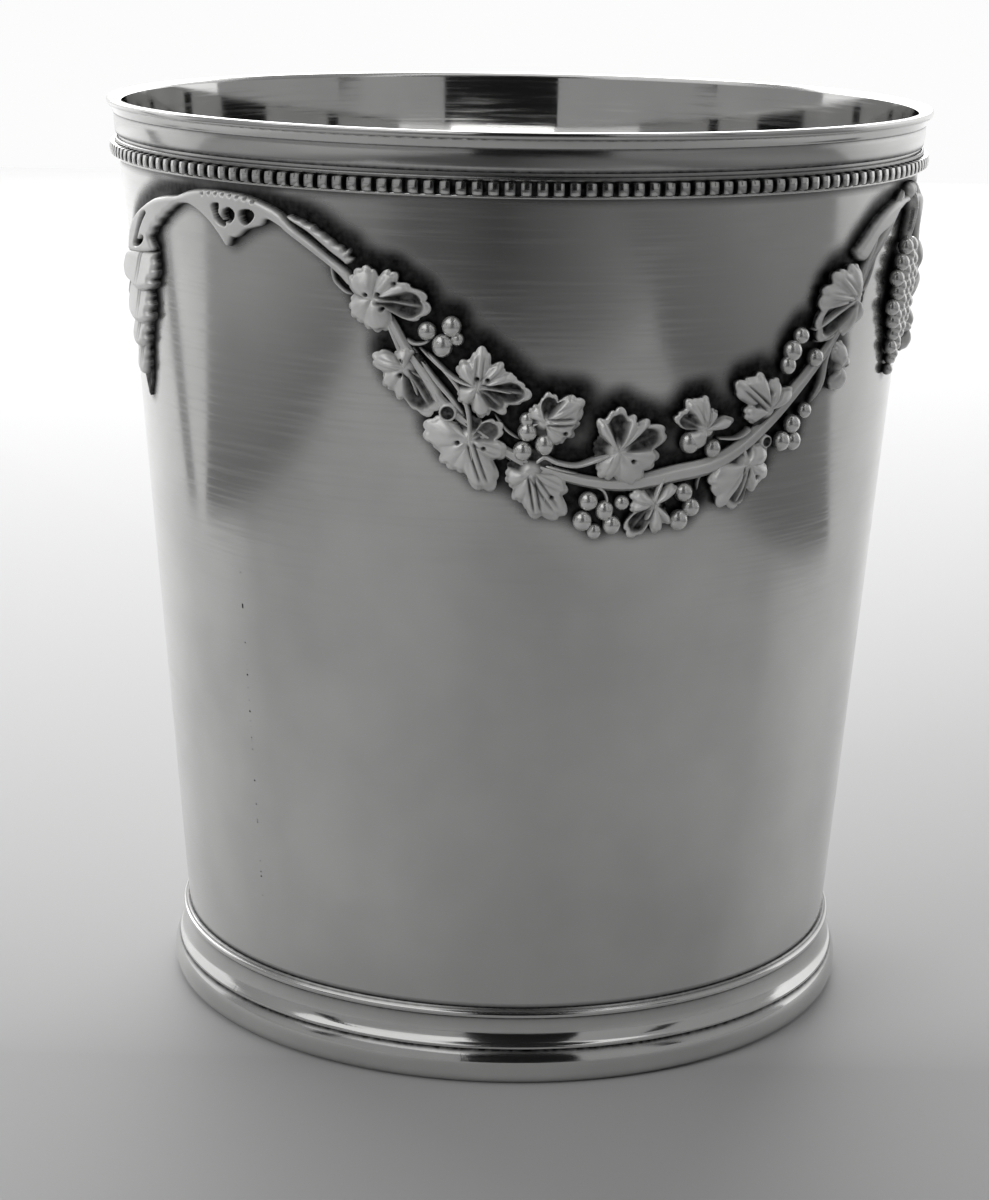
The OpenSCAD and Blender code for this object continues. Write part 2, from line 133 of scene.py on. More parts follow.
class CupSizes(bpy.types.PropertyGroup):
    """Sizes of the garland and the mouldings."""

    swag_drop: FloatProperty(
        name="Fall of a swag", description="From the wire to the lowest leaf",
        default=30 * MM, unit="LENGTH")
    hang_gap: FloatProperty(
        name="Gap over the garland", description="From the wire down to the top of the garland",
        default=0.3 * MM, unit="LENGTH")
    leaf_length: FloatProperty(
        name="Length of a vine leaf", description="The largest leaf of the swags",
        default=7 * MM, unit="LENGTH")
    leaf_height: FloatProperty(
        name="Height of a leaf", description="Height of the crown over the body",
        default=1.8 * MM, unit="LENGTH")
    leaf_edge: FloatProperty(
        name="Height of a leaf's edge", description="Height of the edge over the body",
        default=0.85 * MM, unit="LENGTH")
    berry_diameter: FloatProperty(
        name="Diameter of a berry", description="The largest berry of a cluster",
        default=1.8 * MM, unit="LENGTH")
    grape_diameter: FloatProperty(
        name="Diameter of a grape", description="A grape of the hanging bunch",
        default=1.7 * MM, unit="LENGTH")
    vine_width: FloatProperty(
        name="Width of the vine", description="At its thickest",
        default=1.7 * MM, unit="LENGTH")
    vine_height: FloatProperty(
        name="Height of the vine", description="Over the body",
        default=1.2 * MM, unit="LENGTH")
    bead_count: IntProperty(
        name="Beads", description="Number of beads round the cup",
        default=180)
    # How far the tarnish reaches, with the painted shadow and reflection of the garland
    halo: FloatProperty(
        name="Width of the tarnish",
        description="How far the dark tarnish reaches from the garland over the body",
        default=1.9 * MM, unit="LENGTH")


class CupFinish(bpy.types.PropertyGroup):
    """Colours and polish of the silver, and the colour of the floor."""

    silver: FloatVectorProperty(
        name="Silver", description="Colour of the polished silver",
        subtype="COLOR", default=(0.79, 0.79, 0.78))
    chased: FloatVectorProperty(
        name="Chased silver", description="Colour of the matt silver of the garland",
        subtype="COLOR", default=(0.88, 0.88, 0.87))
    # Colour of the tarnish, and of the painted shade in hollows and corners
    tarnish_and_shade: FloatVectorProperty(
        name="Tarnish", description="Colour of the dark silver in the hollows",
        subtype="COLOR", default=(0.015, 0.015, 0.015))
    polish: FloatProperty(
        name="Polish", description="Roughness of the body",
        subtype="FACTOR", min=0.0, max=1.0, default=0.13)
    floor: FloatVectorProperty(
        name="Floor", description="Colour of the floor",
        subtype="COLOR", default=(0.38, 0.38, 0.38))


def sizes():
    """The sizes that the panel shows."""
    return bpy.context.scene.cup_sizes


def finish():
    """The colours and the polish that the panel shows."""
    return bpy.context.scene.cup_finish


# Places on the cup


def hang_z(share):
    """Height of a place on the garland, from its share of the swag's fall."""
    return WIRE_LOW_Z - sizes().hang_gap - share * sizes().swag_drop


def on_cup(angle, z, lift):
    """A point over the body: angle in radians from the front, towards +X."""
    r = body_radius(z) + lift * math.cos(LEAN)
    return Vector((r * math.sin(angle), -r * math.cos(angle), z - lift * math.sin(LEAN)))


def outward(angle):
    """Direction straight out of the body's wall."""
    flat = math.cos(LEAN)
    return Vector((flat * math.sin(angle), -flat * math.cos(angle), -math.sin(LEAN)))


def wrap(bm, angle, share, side):
    """Lays a flat design on the cup: X to the right, Y up, Z out of the wall.
    The right half of the garland is the left one mirrored."""
    centre_z = hang_z(share)
    girth = body_radius(centre_z)
    for v in bm.verts:
        z = centre_z + v.co.y * math.cos(LEAN)
        a = side * (math.radians(angle) + v.co.x / girth)
        v.co = on_cup(a, z, v.co.z)
    bmesh.ops.recalc_face_normals(bm, faces=bm.faces)


def smooth_line(points, steps):
    """A smooth curve through points, as an array of rows."""
    p = np.array(points, float)
    rows = []
    last = len(p) - 1
    for i in range(last):
        a, b, c, d = p[max(i - 1, 0)], p[i], p[i + 1], p[min(i + 2, last)]
        for k in range(steps):
            t = k / steps
            rows.append(
                b
                + (c - a) * t / 2
                + (2 * a - 5 * b + 4 * c - d) * t * t / 2
                + (3 * b - a - 3 * c + d) * t**3 / 2
            )
    rows.append(p[last])
    return np.array(rows)


def ease(value, low, high):
    """Runs smoothly from 0 at low to 1 at high."""
    t = np.clip((value - low) / (high - low), 0, 1)
    return t * t * (3 - 2 * t)


# Finished pieces


def set_darkness(bm, values):
    """Writes how dark each vertex is, from 0 to 1: painted shade and tarnish together."""
    layer = bm.verts.layers.float.get(DARKNESS) or bm.verts.layers.float.new(DARKNESS)
    for v, value in zip(bm.verts, values):
        v[layer] = float(value)


def add_object(name, bm, material):
    """Turns a mesh under construction into an object of the scene."""
    mesh = bpy.data.meshes.new(name)
    bm.to_mesh(mesh)
    bm.free()
    mesh.materials.append(material)
    made = bpy.data.objects.new(name, mesh)
    bpy.context.scene.collection.objects.link(made)
    return made


def make_piece(name, bm, material, slot, nodes, crisp=None):
    """Turns a finished mesh into a piece of the cup that stands for its nodes."""
    piece = add_object(name, bm, material)
    piece.data.shade_smooth()
    if crisp is not None:
        piece.data.set_sharp_from_angle(angle=math.radians(crisp))
    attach(piece, BODY)
    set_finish(piece, slot)
    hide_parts(*nodes)
    return piece


# Heights over the wall where the garland's painted shade and tarnish are full, and where they end
SHADE_AND_TARNISH_LIFT = (0.15 * MM, 0.9 * MM)


def garland_darkness(bm, carved=0):
    """Painted shade and tarnish grow towards the wall, where polishing never reaches."""
    lift = [(v.co.xy.length - body_radius(v.co.z)) * math.cos(LEAN) for v in bm.verts]
    set_darkness(bm, np.maximum(1 - ease(np.array(lift), *SHADE_AND_TARNISH_LIFT), carved))


def finish_carved(name, node, bm):
    """Makes a piece of a carved mesh that knows how dark its hollows are."""
    layer = bm.verts.layers.float[DARKNESS]
    garland_darkness(bm, np.array([v[layer] for v in bm.verts]))
    make_piece(name, bm, chased_silver(), CHASED, [node])


# Materials


def new_tree(name):
    """A material with an empty node tree."""
    material = bpy.data.materials.new(name)
    material.use_nodes = True
    tree = material.node_tree
    tree.nodes.clear()
    return material, tree


def feed(tree, socket, value):
    """Links a socket to another node's output, or sets its value."""
    if isinstance(value, bpy.types.NodeSocket):
        tree.links.new(value, socket)
    else:
        socket.default_value = value


def add(tree, kind, settings=None, **inputs):
    """A shader node with its settings, and a value or a link for each input."""
    node = tree.nodes.new("ShaderNode" + kind)
    for key, value in (settings or {}).items():
        setattr(node, key, value)
    for key, value in inputs.items():
        feed(tree, node.inputs[key.replace("_", " ")], value)
    return node


def calc(tree, operation, *values, clamp=False):
    """A math node's result."""
    node = tree.nodes.new("ShaderNodeMath")
    node.operation = operation
    node.use_clamp = clamp
    for socket, value in zip(node.inputs, values):
        feed(tree, socket, value)
    return node.outputs[0]


def rescale(tree, value, low, high, to_low=0.0, to_high=1.0):
    """Carries a value from one range to another."""
    span = {"From_Min": low, "From_Max": high, "To_Min": to_low, "To_Max": to_high}
    return add(tree, "MapRange", Value=value, **span).outputs["Result"]


def grain(tree, vector, scale, detail, stretch=None, turn=None):
    """Noise over the object's own coordinates, drawn out along some axes."""
    if stretch is not None:
        drawn_out = {"Scale": stretch, "Rotation": turn or (0, 0, 0)}
        vector = add(tree, "Mapping", Vector=vector, **drawn_out).outputs["Vector"]
    return add(tree, "TexNoise", Vector=vector, Scale=scale, Detail=detail).outputs["Fac"]


def mix(tree, share, first, second, blend="MIX"):
    """The mix of two colours, by a share of the second."""
    colours = {"Fac": share, "Color1": first, "Color2": second}
    return add(tree, "MixRGB", {"blend_type": blend}, **colours).outputs["Color"]


# Scale and detail of the silver's noise, and how its scratches are drawn out
CLOUDS = (85, 6)
PATCHES = (28, 3)
SPECKLE = (1600, 3)
DENTS = (38, 1)
RUBBED = (90, 90, 3200)
SCORED = (900, 900, 60)
SCORED_TURN = (0.5, 0.4, 0)
PITTED = (90, 90, 2300)
WORN_GREY = (0.3, 0.3, 0.3, 1)
PATCH_GREY = (0.35, 0.35, 0.35, 1)
# The soldered seam: its angle, its lowest and its highest pit, how far the outer
# ones fade, and the angles from it where they are full and where they end
SEAM = (math.radians(-113), 0.012, 0.05)
SEAM_FADE = 4 * MM
SEAM_WIDTH = (0.0015, 0.004)


def silver(name, colour, rough, rough_spread, relief, metal=1.0, seam=None, ragged=0.15):
    """Silver with clouds of tarnish, fine scratches, and hollows darkened by painted shade and
    tarnish, made once.
    relief holds the depth in metres of its grain, its scratches and its dents.
    Frosted silver scatters light like a matt surface: its metal share is under 1."""
    if name in bpy.data.materials:
        return bpy.data.materials[name]
    material, tree = new_tree(name)
    place = add(tree, "TexCoord").outputs["Object"]
    hollow = add(tree, "Attribute", {"attribute_name": DARKNESS}).outputs["Fac"]
    clouds = grain(tree, place, *CLOUDS)
    patches = grain(tree, place, *PATCHES)
    speckle = grain(tree, place, *SPECKLE)
    rubbed = grain(tree, place, 1, 4, stretch=RUBBED)
    scored = grain(tree, place, 1, 2, stretch=SCORED, turn=SCORED_TURN)
    dents = grain(tree, place, *DENTS)

    uneven = rescale(tree, speckle, 0.3, 0.7, 1 - ragged, 1 + ragged / 2)
    # Painted shade and tarnish from the darkness attribute, broken up by speckle; the seam's pits
    # join it
    shade_and_tarnish = calc(tree, "MULTIPLY", hollow, uneven, clamp=True)
    if seam is not None:
        shade_and_tarnish = calc(tree, "MAXIMUM", shade_and_tarnish, seam_pits(tree, place, *seam))
    cloudy = rescale(tree, clouds, 0.35, 0.7, 0.0, 0.2)
    patchy = rescale(tree, patches, 0.4, 0.7, 0.0, 0.14)
    worn = mix(tree, cloudy, (*colour, 1), WORN_GREY)
    worn = mix(tree, patchy, worn, PATCH_GREY)
    tone = mix(tree, shade_and_tarnish, worn, (*finish().tarnish_and_shade, 1))

    dull = rescale(tree, clouds, 0.3, 0.7, rough - rough_spread, rough + rough_spread)
    dull = calc(tree, "ADD", dull, rescale(tree, rubbed, 0.45, 0.7, 0.0, 0.07))
    dull = calc(tree, "ADD", dull, calc(tree, "MULTIPLY", shade_and_tarnish, 0.3), clamp=True)

    grain_depth, scratch_depth, dent_depth = relief
    cuts = rescale(tree, scored, 0.66, 0.72, 0, -1)
    height = calc(tree, "MULTIPLY", speckle, grain_depth)
    height = calc(tree, "MULTIPLY_ADD", rubbed, scratch_depth, height)
    height = calc(tree, "MULTIPLY_ADD", cuts, scratch_depth, height)
    height = calc(tree, "MULTIPLY_ADD", dents, dent_depth, height)
    bump = add(tree, "Bump", Height=height, Distance=1.0, Strength=1.0).outputs["Normal"]
    look = {"Base_Color": tone, "Metallic": metal, "Roughness": dull, "Normal": bump}
    shader = add(tree, "BsdfPrincipled", **look)
    add(tree, "OutputMaterial", Surface=shader.outputs["BSDF"])
    return material


def seam_pits(tree, place, angle, low, high):
    """Tiny pits in a row up the wall, where its seam is soldered."""
    axes = add(tree, "SeparateXYZ", Vector=place).outputs
    front = calc(tree, "MULTIPLY", axes["Y"], -1.0)
    turn = calc(tree, "ARCTAN2", axes["X"], front)
    off = calc(tree, "ABSOLUTE", calc(tree, "SUBTRACT", turn, angle))
    near = rescale(tree, off, *SEAM_WIDTH, 1.0, 0.0)
    dots = rescale(tree, grain(tree, place, 1, 2, stretch=PITTED), 0.6, 0.66)
    above = rescale(tree, axes["Z"], low, low + SEAM_FADE)
    below = rescale(tree, axes["Z"], high - SEAM_FADE, high, 1.0, 0.0)
    rows = calc(tree, "MULTIPLY", calc(tree, "MULTIPLY", above, below), dots)
    return calc(tree, "MULTIPLY", near, rows, clamp=True)


def polished_silver():
    """The outside of the wall, with the pits of its seam."""
    relief = (1.2e-6, 0.6e-6, 50e-6)
    rough = finish().polish
    return silver("silver_polished", finish().silver, rough, 0.03, relief, 1.0, SEAM, 0.05)


def bright_silver():
    """The inside, where the polish is hardly worn."""
    return silver("silver_bright", finish().silver, 0.05, 0.02, (0.3e-6, 0.2e-6, 15e-6))


def moulded_silver():
    """The lip, the foot and the beaded wire."""
    return silver("silver_moulded", finish().silver, 0.12, 0.04, (2e-6, 2e-6, 10e-6))


def chased_silver():
    """The leaves and branches, frosted by the chasing."""
    return silver("silver_chased", finish().chased, 0.34, 0.06, (9e-6, 3e-6, 10e-6), 0.6)


def berry_silver():
    """The berries are rubbed smooth, so they mirror the room."""
    return silver("silver_berry", finish().chased, 0.22, 0.05, (5e-6, 2e-6, 10e-6), 0.85)


# Vine leaves

LEAF_TURNS = 144
LEAF_RINGS = 24
LOBE_SPREAD = 1.18
# Lobes join like a sum of powers: a high power keeps the cut between two lobes sharp
LOBE_POWER = 8
# A midrib is a ridge between two cuts: half widths, place of the cuts, rise and depth
RIDGE_HALF = 0.13 * MM
RIDGE_RISE = 0.12 * MM
CUT_PLACE = 0.29 * MM
CUT_HALF = 0.11 * MM
CUT_DEPTH = 0.28 * MM
SIDE_VEIN_STEP = 0.85 * MM
SIDE_VEIN_RISE = 0.005 * MM
DRILL_RADIUS = 0.2 * MM
DRILL_DEPTH = 0.55 * MM
# Past the face, a leaf turns down to the wall: reach, and height in edge heights
LEAF_SKIRT = [(1.0, 0.62), (0.985, 0.25), (0.9, -0.12), (0.0, -0.12)]
# Each leaf of the left swag: angle and fall of the place where its veins meet,
# then its lobes: direction in degrees, length in leaf lengths, half width in
# degrees, crown (below 0 for a hollow lobe) and strength of the midrib,
# then its drilled spots: direction, and distance in leaf lengths
LEAVES = {
    1: (-87.3, 0.297,
        [(122, 0.44, 42, 1, 0.2), (52, 0.46, 24, 0.4, 0.3), (15, 0.52, 20, 0.5, 0.3),
         (-8, 0.74, 24, -1, 1), (-82, 0.44, 40, 1, 0.2), (-143, 0.38, 42, 1, 0.2)],
        [(140, 0.1), (45, 0.1), (38, 0.34), (-45, 0.17)]),
    2: (-83.2, 0.5,
        [(167, 0.44, 30, 1, 0.4), (-138, 0.38, 30, 1, 0.2), (-96, 0.45, 24, 0.9, 0.2),
         (-60, 0.68, 28, -0.8, 1), (95, 0.22, 30, 0.6, 0)],
        [(110, 0.1), (-120, 0.1)]),
    3: (-73.7, 0.548,
        [(124, 0.4, 28, 1, 0.3), (84, 0.5, 22, 0.3, 0.6), (44, 0.44, 19, 0.6, 0.5),
         (16, 0.48, 15, 0.6, 0.3), (-10, 0.68, 20, -1, 1), (-42, 0.48, 20, -0.6, 0.6),
         (-82, 0.42, 24, 0.8, 0.2), (-140, 0.3, 30, 0.8, 0.2)],
        [(92, 0.11), (40, 0.16)]),
    4: (-74.7, 0.712,
        [(169, 0.6, 34, 1, 0.1), (-140, 0.48, 30, 1, 0.1), (-108, 0.46, 24, 0.9, 0.1),
         (-72, 0.72, 26, 0.8, 1), (-22, 0.5, 24, 0.6, 0.4), (27, 0.44, 28, -0.6, 0.3)],
        [(125, 0.24), (188, 0.15), (-28, 0.2)]),
    5: (-65, 0.651,
        [(127, 0.24, 35, 0.6, 0.2), (76, 0.37, 28, -0.9, 0.2), (30, 0.54, 26, 0.9, 0.4),
         (0, 0.46, 18, 0.8, 0.9), (-25, 0.43, 20, 0.7, 0.3), (-54, 0.36, 22, 0.4, 0.2)],
        [(-30, 0.3)]),
    6: (-66.7, 0.81,
        [(-112, 0.42, 24, 1, 0.1), (-80, 0.64, 22, 0.9, 1), (-56, 0.72, 20, 0.5, 0.8),
         (-28, 0.54, 22, 0.5, 0.4), (-160, 0.32, 28, 0.8, 0.1)],
        [(-50, 0.42)]),
    7: (-55.2, 0.745,
        [(120, 0.5, 17, 1, 0.1), (90, 0.55, 22, -0.9, 0.2), (64, 0.51, 13, 0.9, 0.1),
         (43, 0.57, 14, 0.8, 0.2), (20, 0.67, 20, -0.9, 0.3), (-15, 0.58, 26, 1, 0.1),
         (-58, 0.53, 34, 1, 0.1), (-112, 0.4, 36, 1, 0.3)],
        [(-33, 0.23), (32, 0.28)]),
    8: (-43.1, 0.689,
        [(154, 0.42, 24, -0.6, 0.4), (120, 0.47, 20, 0.7, 0.4), (92, 0.42, 18, 0.7, 0.3),
         (55, 0.3, 20, 0.4, 0), (10, 0.44, 17, 0.8, 0.1), (-120, 0.3, 40, 0.8, 0)],
        [(135, 0.25)]),
    9: (-49.8, 0.914,
        [(154, 0.32, 26, 1, 0), (36, 0.38, 18, 0.9, 0.2), (-50, 0.38, 15, 0.9, 0.2),
         (-80, 0.43, 18, 1, 0.1), (-126, 0.52, 26, -1, 0.5), (-168, 0.32, 18, 0.7, 0.2)],
        [(-20, 0.18), (0, 0.14)]),
    10: (-33.1, 0.645,
         [(140, 0.62, 22, 0.6, 0.9), (112, 0.52, 19, 0.9, 0.2), (68, 0.42, 22, 1, 0.1),
          (26, 0.48, 20, 0.9, 0.1), (-168, 0.34, 30, 0.8, 0.2)],
         [(160, 0.2), (90, 0.22)]),
    11: (-36, 0.814,
         [(-154, 0.58, 30, 1, 0.1), (-122, 0.63, 20, 0.8, 0.3), (-100, 0.62, 17, -0.6, 1),
          (28, 0.38, 36, 1, 0.1), (-27, 0.44, 26, 0.9, 0.2), (-64, 0.42, 22, 0.8, 0.3)],
         [(-48, 0.24), (160, 0.3)]),
    12: (-19.4, 0.545,
         [(95, 0.34, 40, 1, 0.1), (-85, 0.34, 40, 1, 0.1), (20, 0.24, 30, 0.6, 0)],
         [(0, 0.08)]),
    13: (-17.4, 0.335,
         [(104, 0.47, 36, 1, 0.1), (140, 0.6, 22, 0.7, 0.4), (170, 0.68, 17, 0.7, 0.5),
          (-174, 0.7, 15, 0.5, 0.4), (-150, 0.84, 22, -1, 0.9), (-108, 0.5, 24, 0.8, 0.3),
          (-62, 0.34, 30, 0.8, 0.1)],
         [(190, 0.2)]),
}


def around(turn, direction):
    """Angle from a direction, between minus and plus half a turn."""
    return (turn - direction + math.pi) % FULL_TURN - math.pi


def leaf_relief(turn, share, lobes, drills, length):
    """Reach, height and darkness over a leaf: share runs from its veins' meeting
    point to its edge."""
    height_scale = sizes().leaf_height
    core = 0.56 * length * np.mean([lobe[1] for lobe in lobes])
    reach = np.full_like(turn, core**LOBE_POWER)
    convex = np.zeros_like(turn)
    hollow = np.zeros_like(turn)
    open_ground = np.ones_like(turn)
    for direction, lobe_length, half, crown, _ in lobes:
        off = around(turn, math.radians(direction)) / math.radians(LOBE_SPREAD * half)
        petal = np.cos(np.clip(off, -1, 1) * math.pi / 2)
        reach += (lobe_length * length * petal**0.34) ** LOBE_POWER
        inside = np.clip(1 - off**2, 0, 1)
        convex = np.maximum(convex, inside**0.6 * max(crown, 0))
        hollow = np.maximum(hollow, ease(inside, 0.05, 0.75) * max(-crown, 0) ** 0.4)
        open_ground = np.minimum(open_ground, 1 - inside**0.3)
    teeth = 0.93 + 0.1 * np.abs(np.sin(9.5 * turn)) ** 0.7 + 0.03 * np.sin(5 * turn)
    reach = reach ** (1 / LOBE_POWER)
    reach *= 1 + (teeth - 1) * ease(share, 0.8, 0.98)
    r = reach * share

    valley = open_ground * ease(share, 0.2, 0.6)
    basin = hollow * ease(share, 0.1, 0.35) * (1 - ease(share, 0.8, 0.92))
    height = height_scale * (0.78 - 0.16 * share**2)
    height += 0.26 * height_scale * convex * np.sin(math.pi * np.clip(share, 0, 1) ** 0.9)
    height -= 0.26 * height_scale * valley
    height -= 0.42 * height_scale * basin
    # Painted shade and tarnish in the valleys between the lobes and in the hollow lobes
    dark = np.maximum(0.95 * valley**1.2, 0.97 * basin**0.7)

    for direction, lobe_length, half, _, rib in lobes:
        off = around(turn, math.radians(direction))
        ahead = np.abs(off) < math.pi / 2
        across = np.abs(r * np.sin(off))
        along = r * np.cos(off) / (lobe_length * length)
        fade = max(1.2 * rib - 0.2, 0) * ahead * ease(along, 0.0, 0.12)
        fade = fade * (1 - ease(along, 0.66, 0.9))
        ridge = np.exp(-((across / RIDGE_HALF) ** 2))
        cut = np.exp(-(((across - CUT_PLACE) / CUT_HALF) ** 2))
        height += fade * (RIDGE_RISE * ridge - CUT_DEPTH * cut)
        # Painted shade in the cuts beside a midrib, taken off its ridge
        dark = np.maximum(dark, 0.95 * fade * cut)
        dark *= 1 - 0.8 * fade * ridge
        # Side veins run out from the midrib
        comb = np.cos(FULL_TURN * (r * np.cos(off) - 0.8 * across) / SIDE_VEIN_STEP)
        close = ahead * np.clip(1 - np.abs(off) / math.radians(half), 0, 1)
        height += SIDE_VEIN_RISE * comb * close * ease(share, 0.25, 0.5)

    for direction, distance in drills:
        dx = r * np.cos(turn) - distance * length * math.cos(math.radians(direction))
        dy = r * np.sin(turn) - distance * length * math.sin(math.radians(direction))
        spot = np.exp(-((dx**2 + dy**2) / DRILL_RADIUS**2) ** 2)
        height -= DRILL_DEPTH * spot
        # Painted shade in the drilled spots
        dark = np.maximum(dark, spot)
    return reach, height, dark


def leaf_mesh(lobes, drills):
    """One cast leaf, flat on the wall: a polar grid that is raised into relief."""
    bm = bmesh.new()
    rows = LEAF_RINGS + len(LEAF_SKIRT)
    bmesh.ops.create_grid(bm, x_segments=LEAF_TURNS, y_segments=rows, size=0.5)
    flat = np.array([v.co for v in bm.verts])
    turn = (flat[:, 0] + 0.5) * FULL_TURN
    row = np.rint((flat[:, 1] + 0.5) * rows).astype(int)
    share = np.clip(row / LEAF_RINGS, 0, 1)
    length, edge = sizes().leaf_length, sizes().leaf_edge
    reach, height, dark = leaf_relief(turn, share, lobes, drills, length)
    rim = ease(share, 0.84, 1)
    height = height * (1 - rim) + np.minimum(height, edge) * rim
    for k, (in_share, rise) in enumerate(LEAF_SKIRT):
        here = row == LEAF_RINGS + 1 + k
        share[here] = in_share
        height[here] = rise * edge
        # The edge that turns down to the wall is fully dark: painted shade under the leaf
        dark[here] = 1
    x, y = reach * share * np.cos(turn), reach * share * np.sin(turn)
    for v, point in zip(bm.verts, np.column_stack([x, y, height])):
        v.co = point
    set_darkness(bm, dark)
    bmesh.ops.remove_doubles(bm, verts=bm.verts, dist=MERGE)
    return bm


# Berries: angle, fall share and size of each one
BERRIES = {
    1: [(-80.4, 0.388, 0.95), (-77.2, 0.371, 1), (-78.4, 0.43, 1.06), (-76.5, 0.41, 0.7)],
    2: [(-67.2, 0.686, 1), (-67.8, 0.747, 1), (-64.9, 0.725, 1), (-67.3, 0.649, 0.75)],
    3: [(-58.8, 0.903, 1), (-59.5, 0.965, 1), (-56.5, 0.934, 0.95), (-54.1, 0.912, 0.8),
        (-55.4, 0.98, 0.95), (-57.8, 1.0, 0.75)],
    4: [(-42.7, 0.692, 1), (-44.8, 0.733, 1.08), (-41.2, 0.757, 0.9)],
    5: [(-45.2, 0.889, 1), (-43.9, 0.938, 0.95), (-45.7, 0.976, 1)],
    6: [(-27.4, 0.431, 0.9), (-28.9, 0.475, 1.05), (-29.4, 0.519, 0.9), (-24.2, 0.507, 1)],
    7: [(-27.7, 0.708, 1), (-29.4, 0.759, 1), (-27, 0.765, 0.9), (-25.3, 0.672, 0.85)],
}
BERRY_STEPS = (24, 16)
# Height of a ball over its diameter, and how high its middle stands over the wall:
# a share of its diameter, and a length
BALL_FLAT = 0.92
BERRY_SEAT = (0.27, 0.1 * MM)


def ball(bm, centre, diameter, out, stretch=1.0):
    """A round berry that sits in the wall, drawn out a little along it."""
    away = out.normalized()
    sideways = Vector((0, 0, 1)).cross(away).normalized()
    turn = Matrix((sideways, away.cross(sideways), away)).transposed().to_4x4()
    scale = Matrix.Diagonal((1, stretch, BALL_FLAT, 1))
    bmesh.ops.create_uvsphere(
        bm, u_segments=BERRY_STEPS[0], v_segments=BERRY_STEPS[1], radius=diameter / 2,
        matrix=Matrix.Translation(centre) @ turn @ scale,
    )


def cluster_mesh(berries, side):
    """One cluster of berries, a little drawn out by turns."""
    bm = bmesh.new()
    for k, (angle, share, scale) in enumerate(berries):
        turn = side * math.radians(angle)
        diameter = scale * sizes().berry_diameter
        centre = on_cup(turn, hang_z(share), BERRY_SEAT[0] * diameter + BERRY_SEAT[1])
        ball(bm, centre, diameter, outward(turn), 1 + 0.06 * (k % 3))
    garland_darkness(bm)
    return bm


# Strands: the vine, its stalks and the ribs of the arches


def strand(bm, path, side=1, sides=14, steps=5, root=0.35, blunt=0.25, bark=0.0):
    """Lays a half-round strand along places on the cup, given as angle, fall
    share, width and height as shares of the vine's. Each ring is carried on
    from the last one, and the ends are rounded. Bark runs along it as grooves."""
    line = smooth_line(path, steps)
    width, height = sizes().vine_width, sizes().vine_height
    last = len(line) - 1
    centres = [on_cup(side * math.radians(angle), hang_z(share), 0)
               for angle, share, *_ in line]
    frames = []
    for i, (angle, _, w, h) in enumerate(line):
        out = outward(side * math.radians(angle))
        along = (centres[min(i + 1, last)] - centres[max(i - 1, 0)]).normalized()
        across = out.cross(along).normalized()
        out = along.cross(across)
        ends = min(i, last - i) / steps
        rounding = math.sqrt(1 - (1 - min(1, blunt + ends)) ** 2)
        half_w, rise = w * width / 2 * rounding, h * height * rounding
        turn = Matrix((across, along, out)).transposed().to_4x4()
        scale = Matrix.Diagonal((half_w, 1, rise * (1 + root) / 2, 1))
        lift = Matrix.Translation(centres[i] + out * rise * (1 - root) / 2)
        frames.append(lift @ turn @ scale @ Matrix.Rotation(math.pi / 2, 4, "X"))
    disc = {"cap_ends": True, "segments": sides, "radius": 1, "matrix": frames[0]}
    ring = bmesh.ops.create_circle(bm, **disc)["verts"]
    middle = frames[0].translation
    for v in ring[::3]:
        v.co = v.co.lerp(middle, bark)
    edges = list({e for v in ring for e in v.link_edges})
    for before, after in zip(frames, frames[1:]):
        grown = bmesh.ops.extrude_edge_only(bm, edges=edges)["geom"]
        ring = [g for g in grown if isinstance(g, bmesh.types.BMVert)]
        edges = [g for g in grown if isinstance(g, bmesh.types.BMEdge)]
        edges = [e for e in edges if e.verts[0] in ring and e.verts[1] in ring]
        bmesh.ops.transform(bm, matrix=after @ before.inverted(), verts=ring)
    bmesh.ops.holes_fill(bm, edges=edges, sides=sides)


# The branch of the left swag, from the front to the arch: angle, fall, width
# and height
VINE = [
    (-3.5, 0.03, 0.7, 0.7), (-6.5, 0.08, 0.8, 0.8), (-10, 0.16, 0.75, 0.8),
    (-13, 0.23, 0.6, 0.7), (-16, 0.33, 0.55, 0.7), (-21, 0.47, 0.6, 0.75),
    (-25, 0.55, 0.75, 0.85), (-28.5, 0.62, 0.85, 0.9), (-32.2, 0.69, 0.9, 0.95),
    (-36.5, 0.76, 0.9, 1), (-41.2, 0.81, 1, 1), (-47, 0.83, 1, 1), (-52.3, 0.85, 0.9, 1),
    (-57, 0.85, 0.7, 0.9), (-62.8, 0.82, 0.65, 0.9), (-67.7, 0.78, 0.65, 0.85),
    (-72.6, 0.71, 0.5, 0.7), (-78.3, 0.608, 0.6, 0.85), (-79.6, 0.564, 0.65, 0.9),
    (-81.3, 0.505, 0.62, 0.9), (-83.5, 0.437, 0.6, 0.85), (-85.4, 0.36, 0.55, 0.8),
    (-88, 0.3, 0.5, 0.7), (-90.4, 0.256, 0.5, 0.7), (-93.2, 0.204, 0.5, 0.7),
    (-97.5, 0.139, 0.5, 0.75), (-101, 0.09, 0.55, 0.8)]
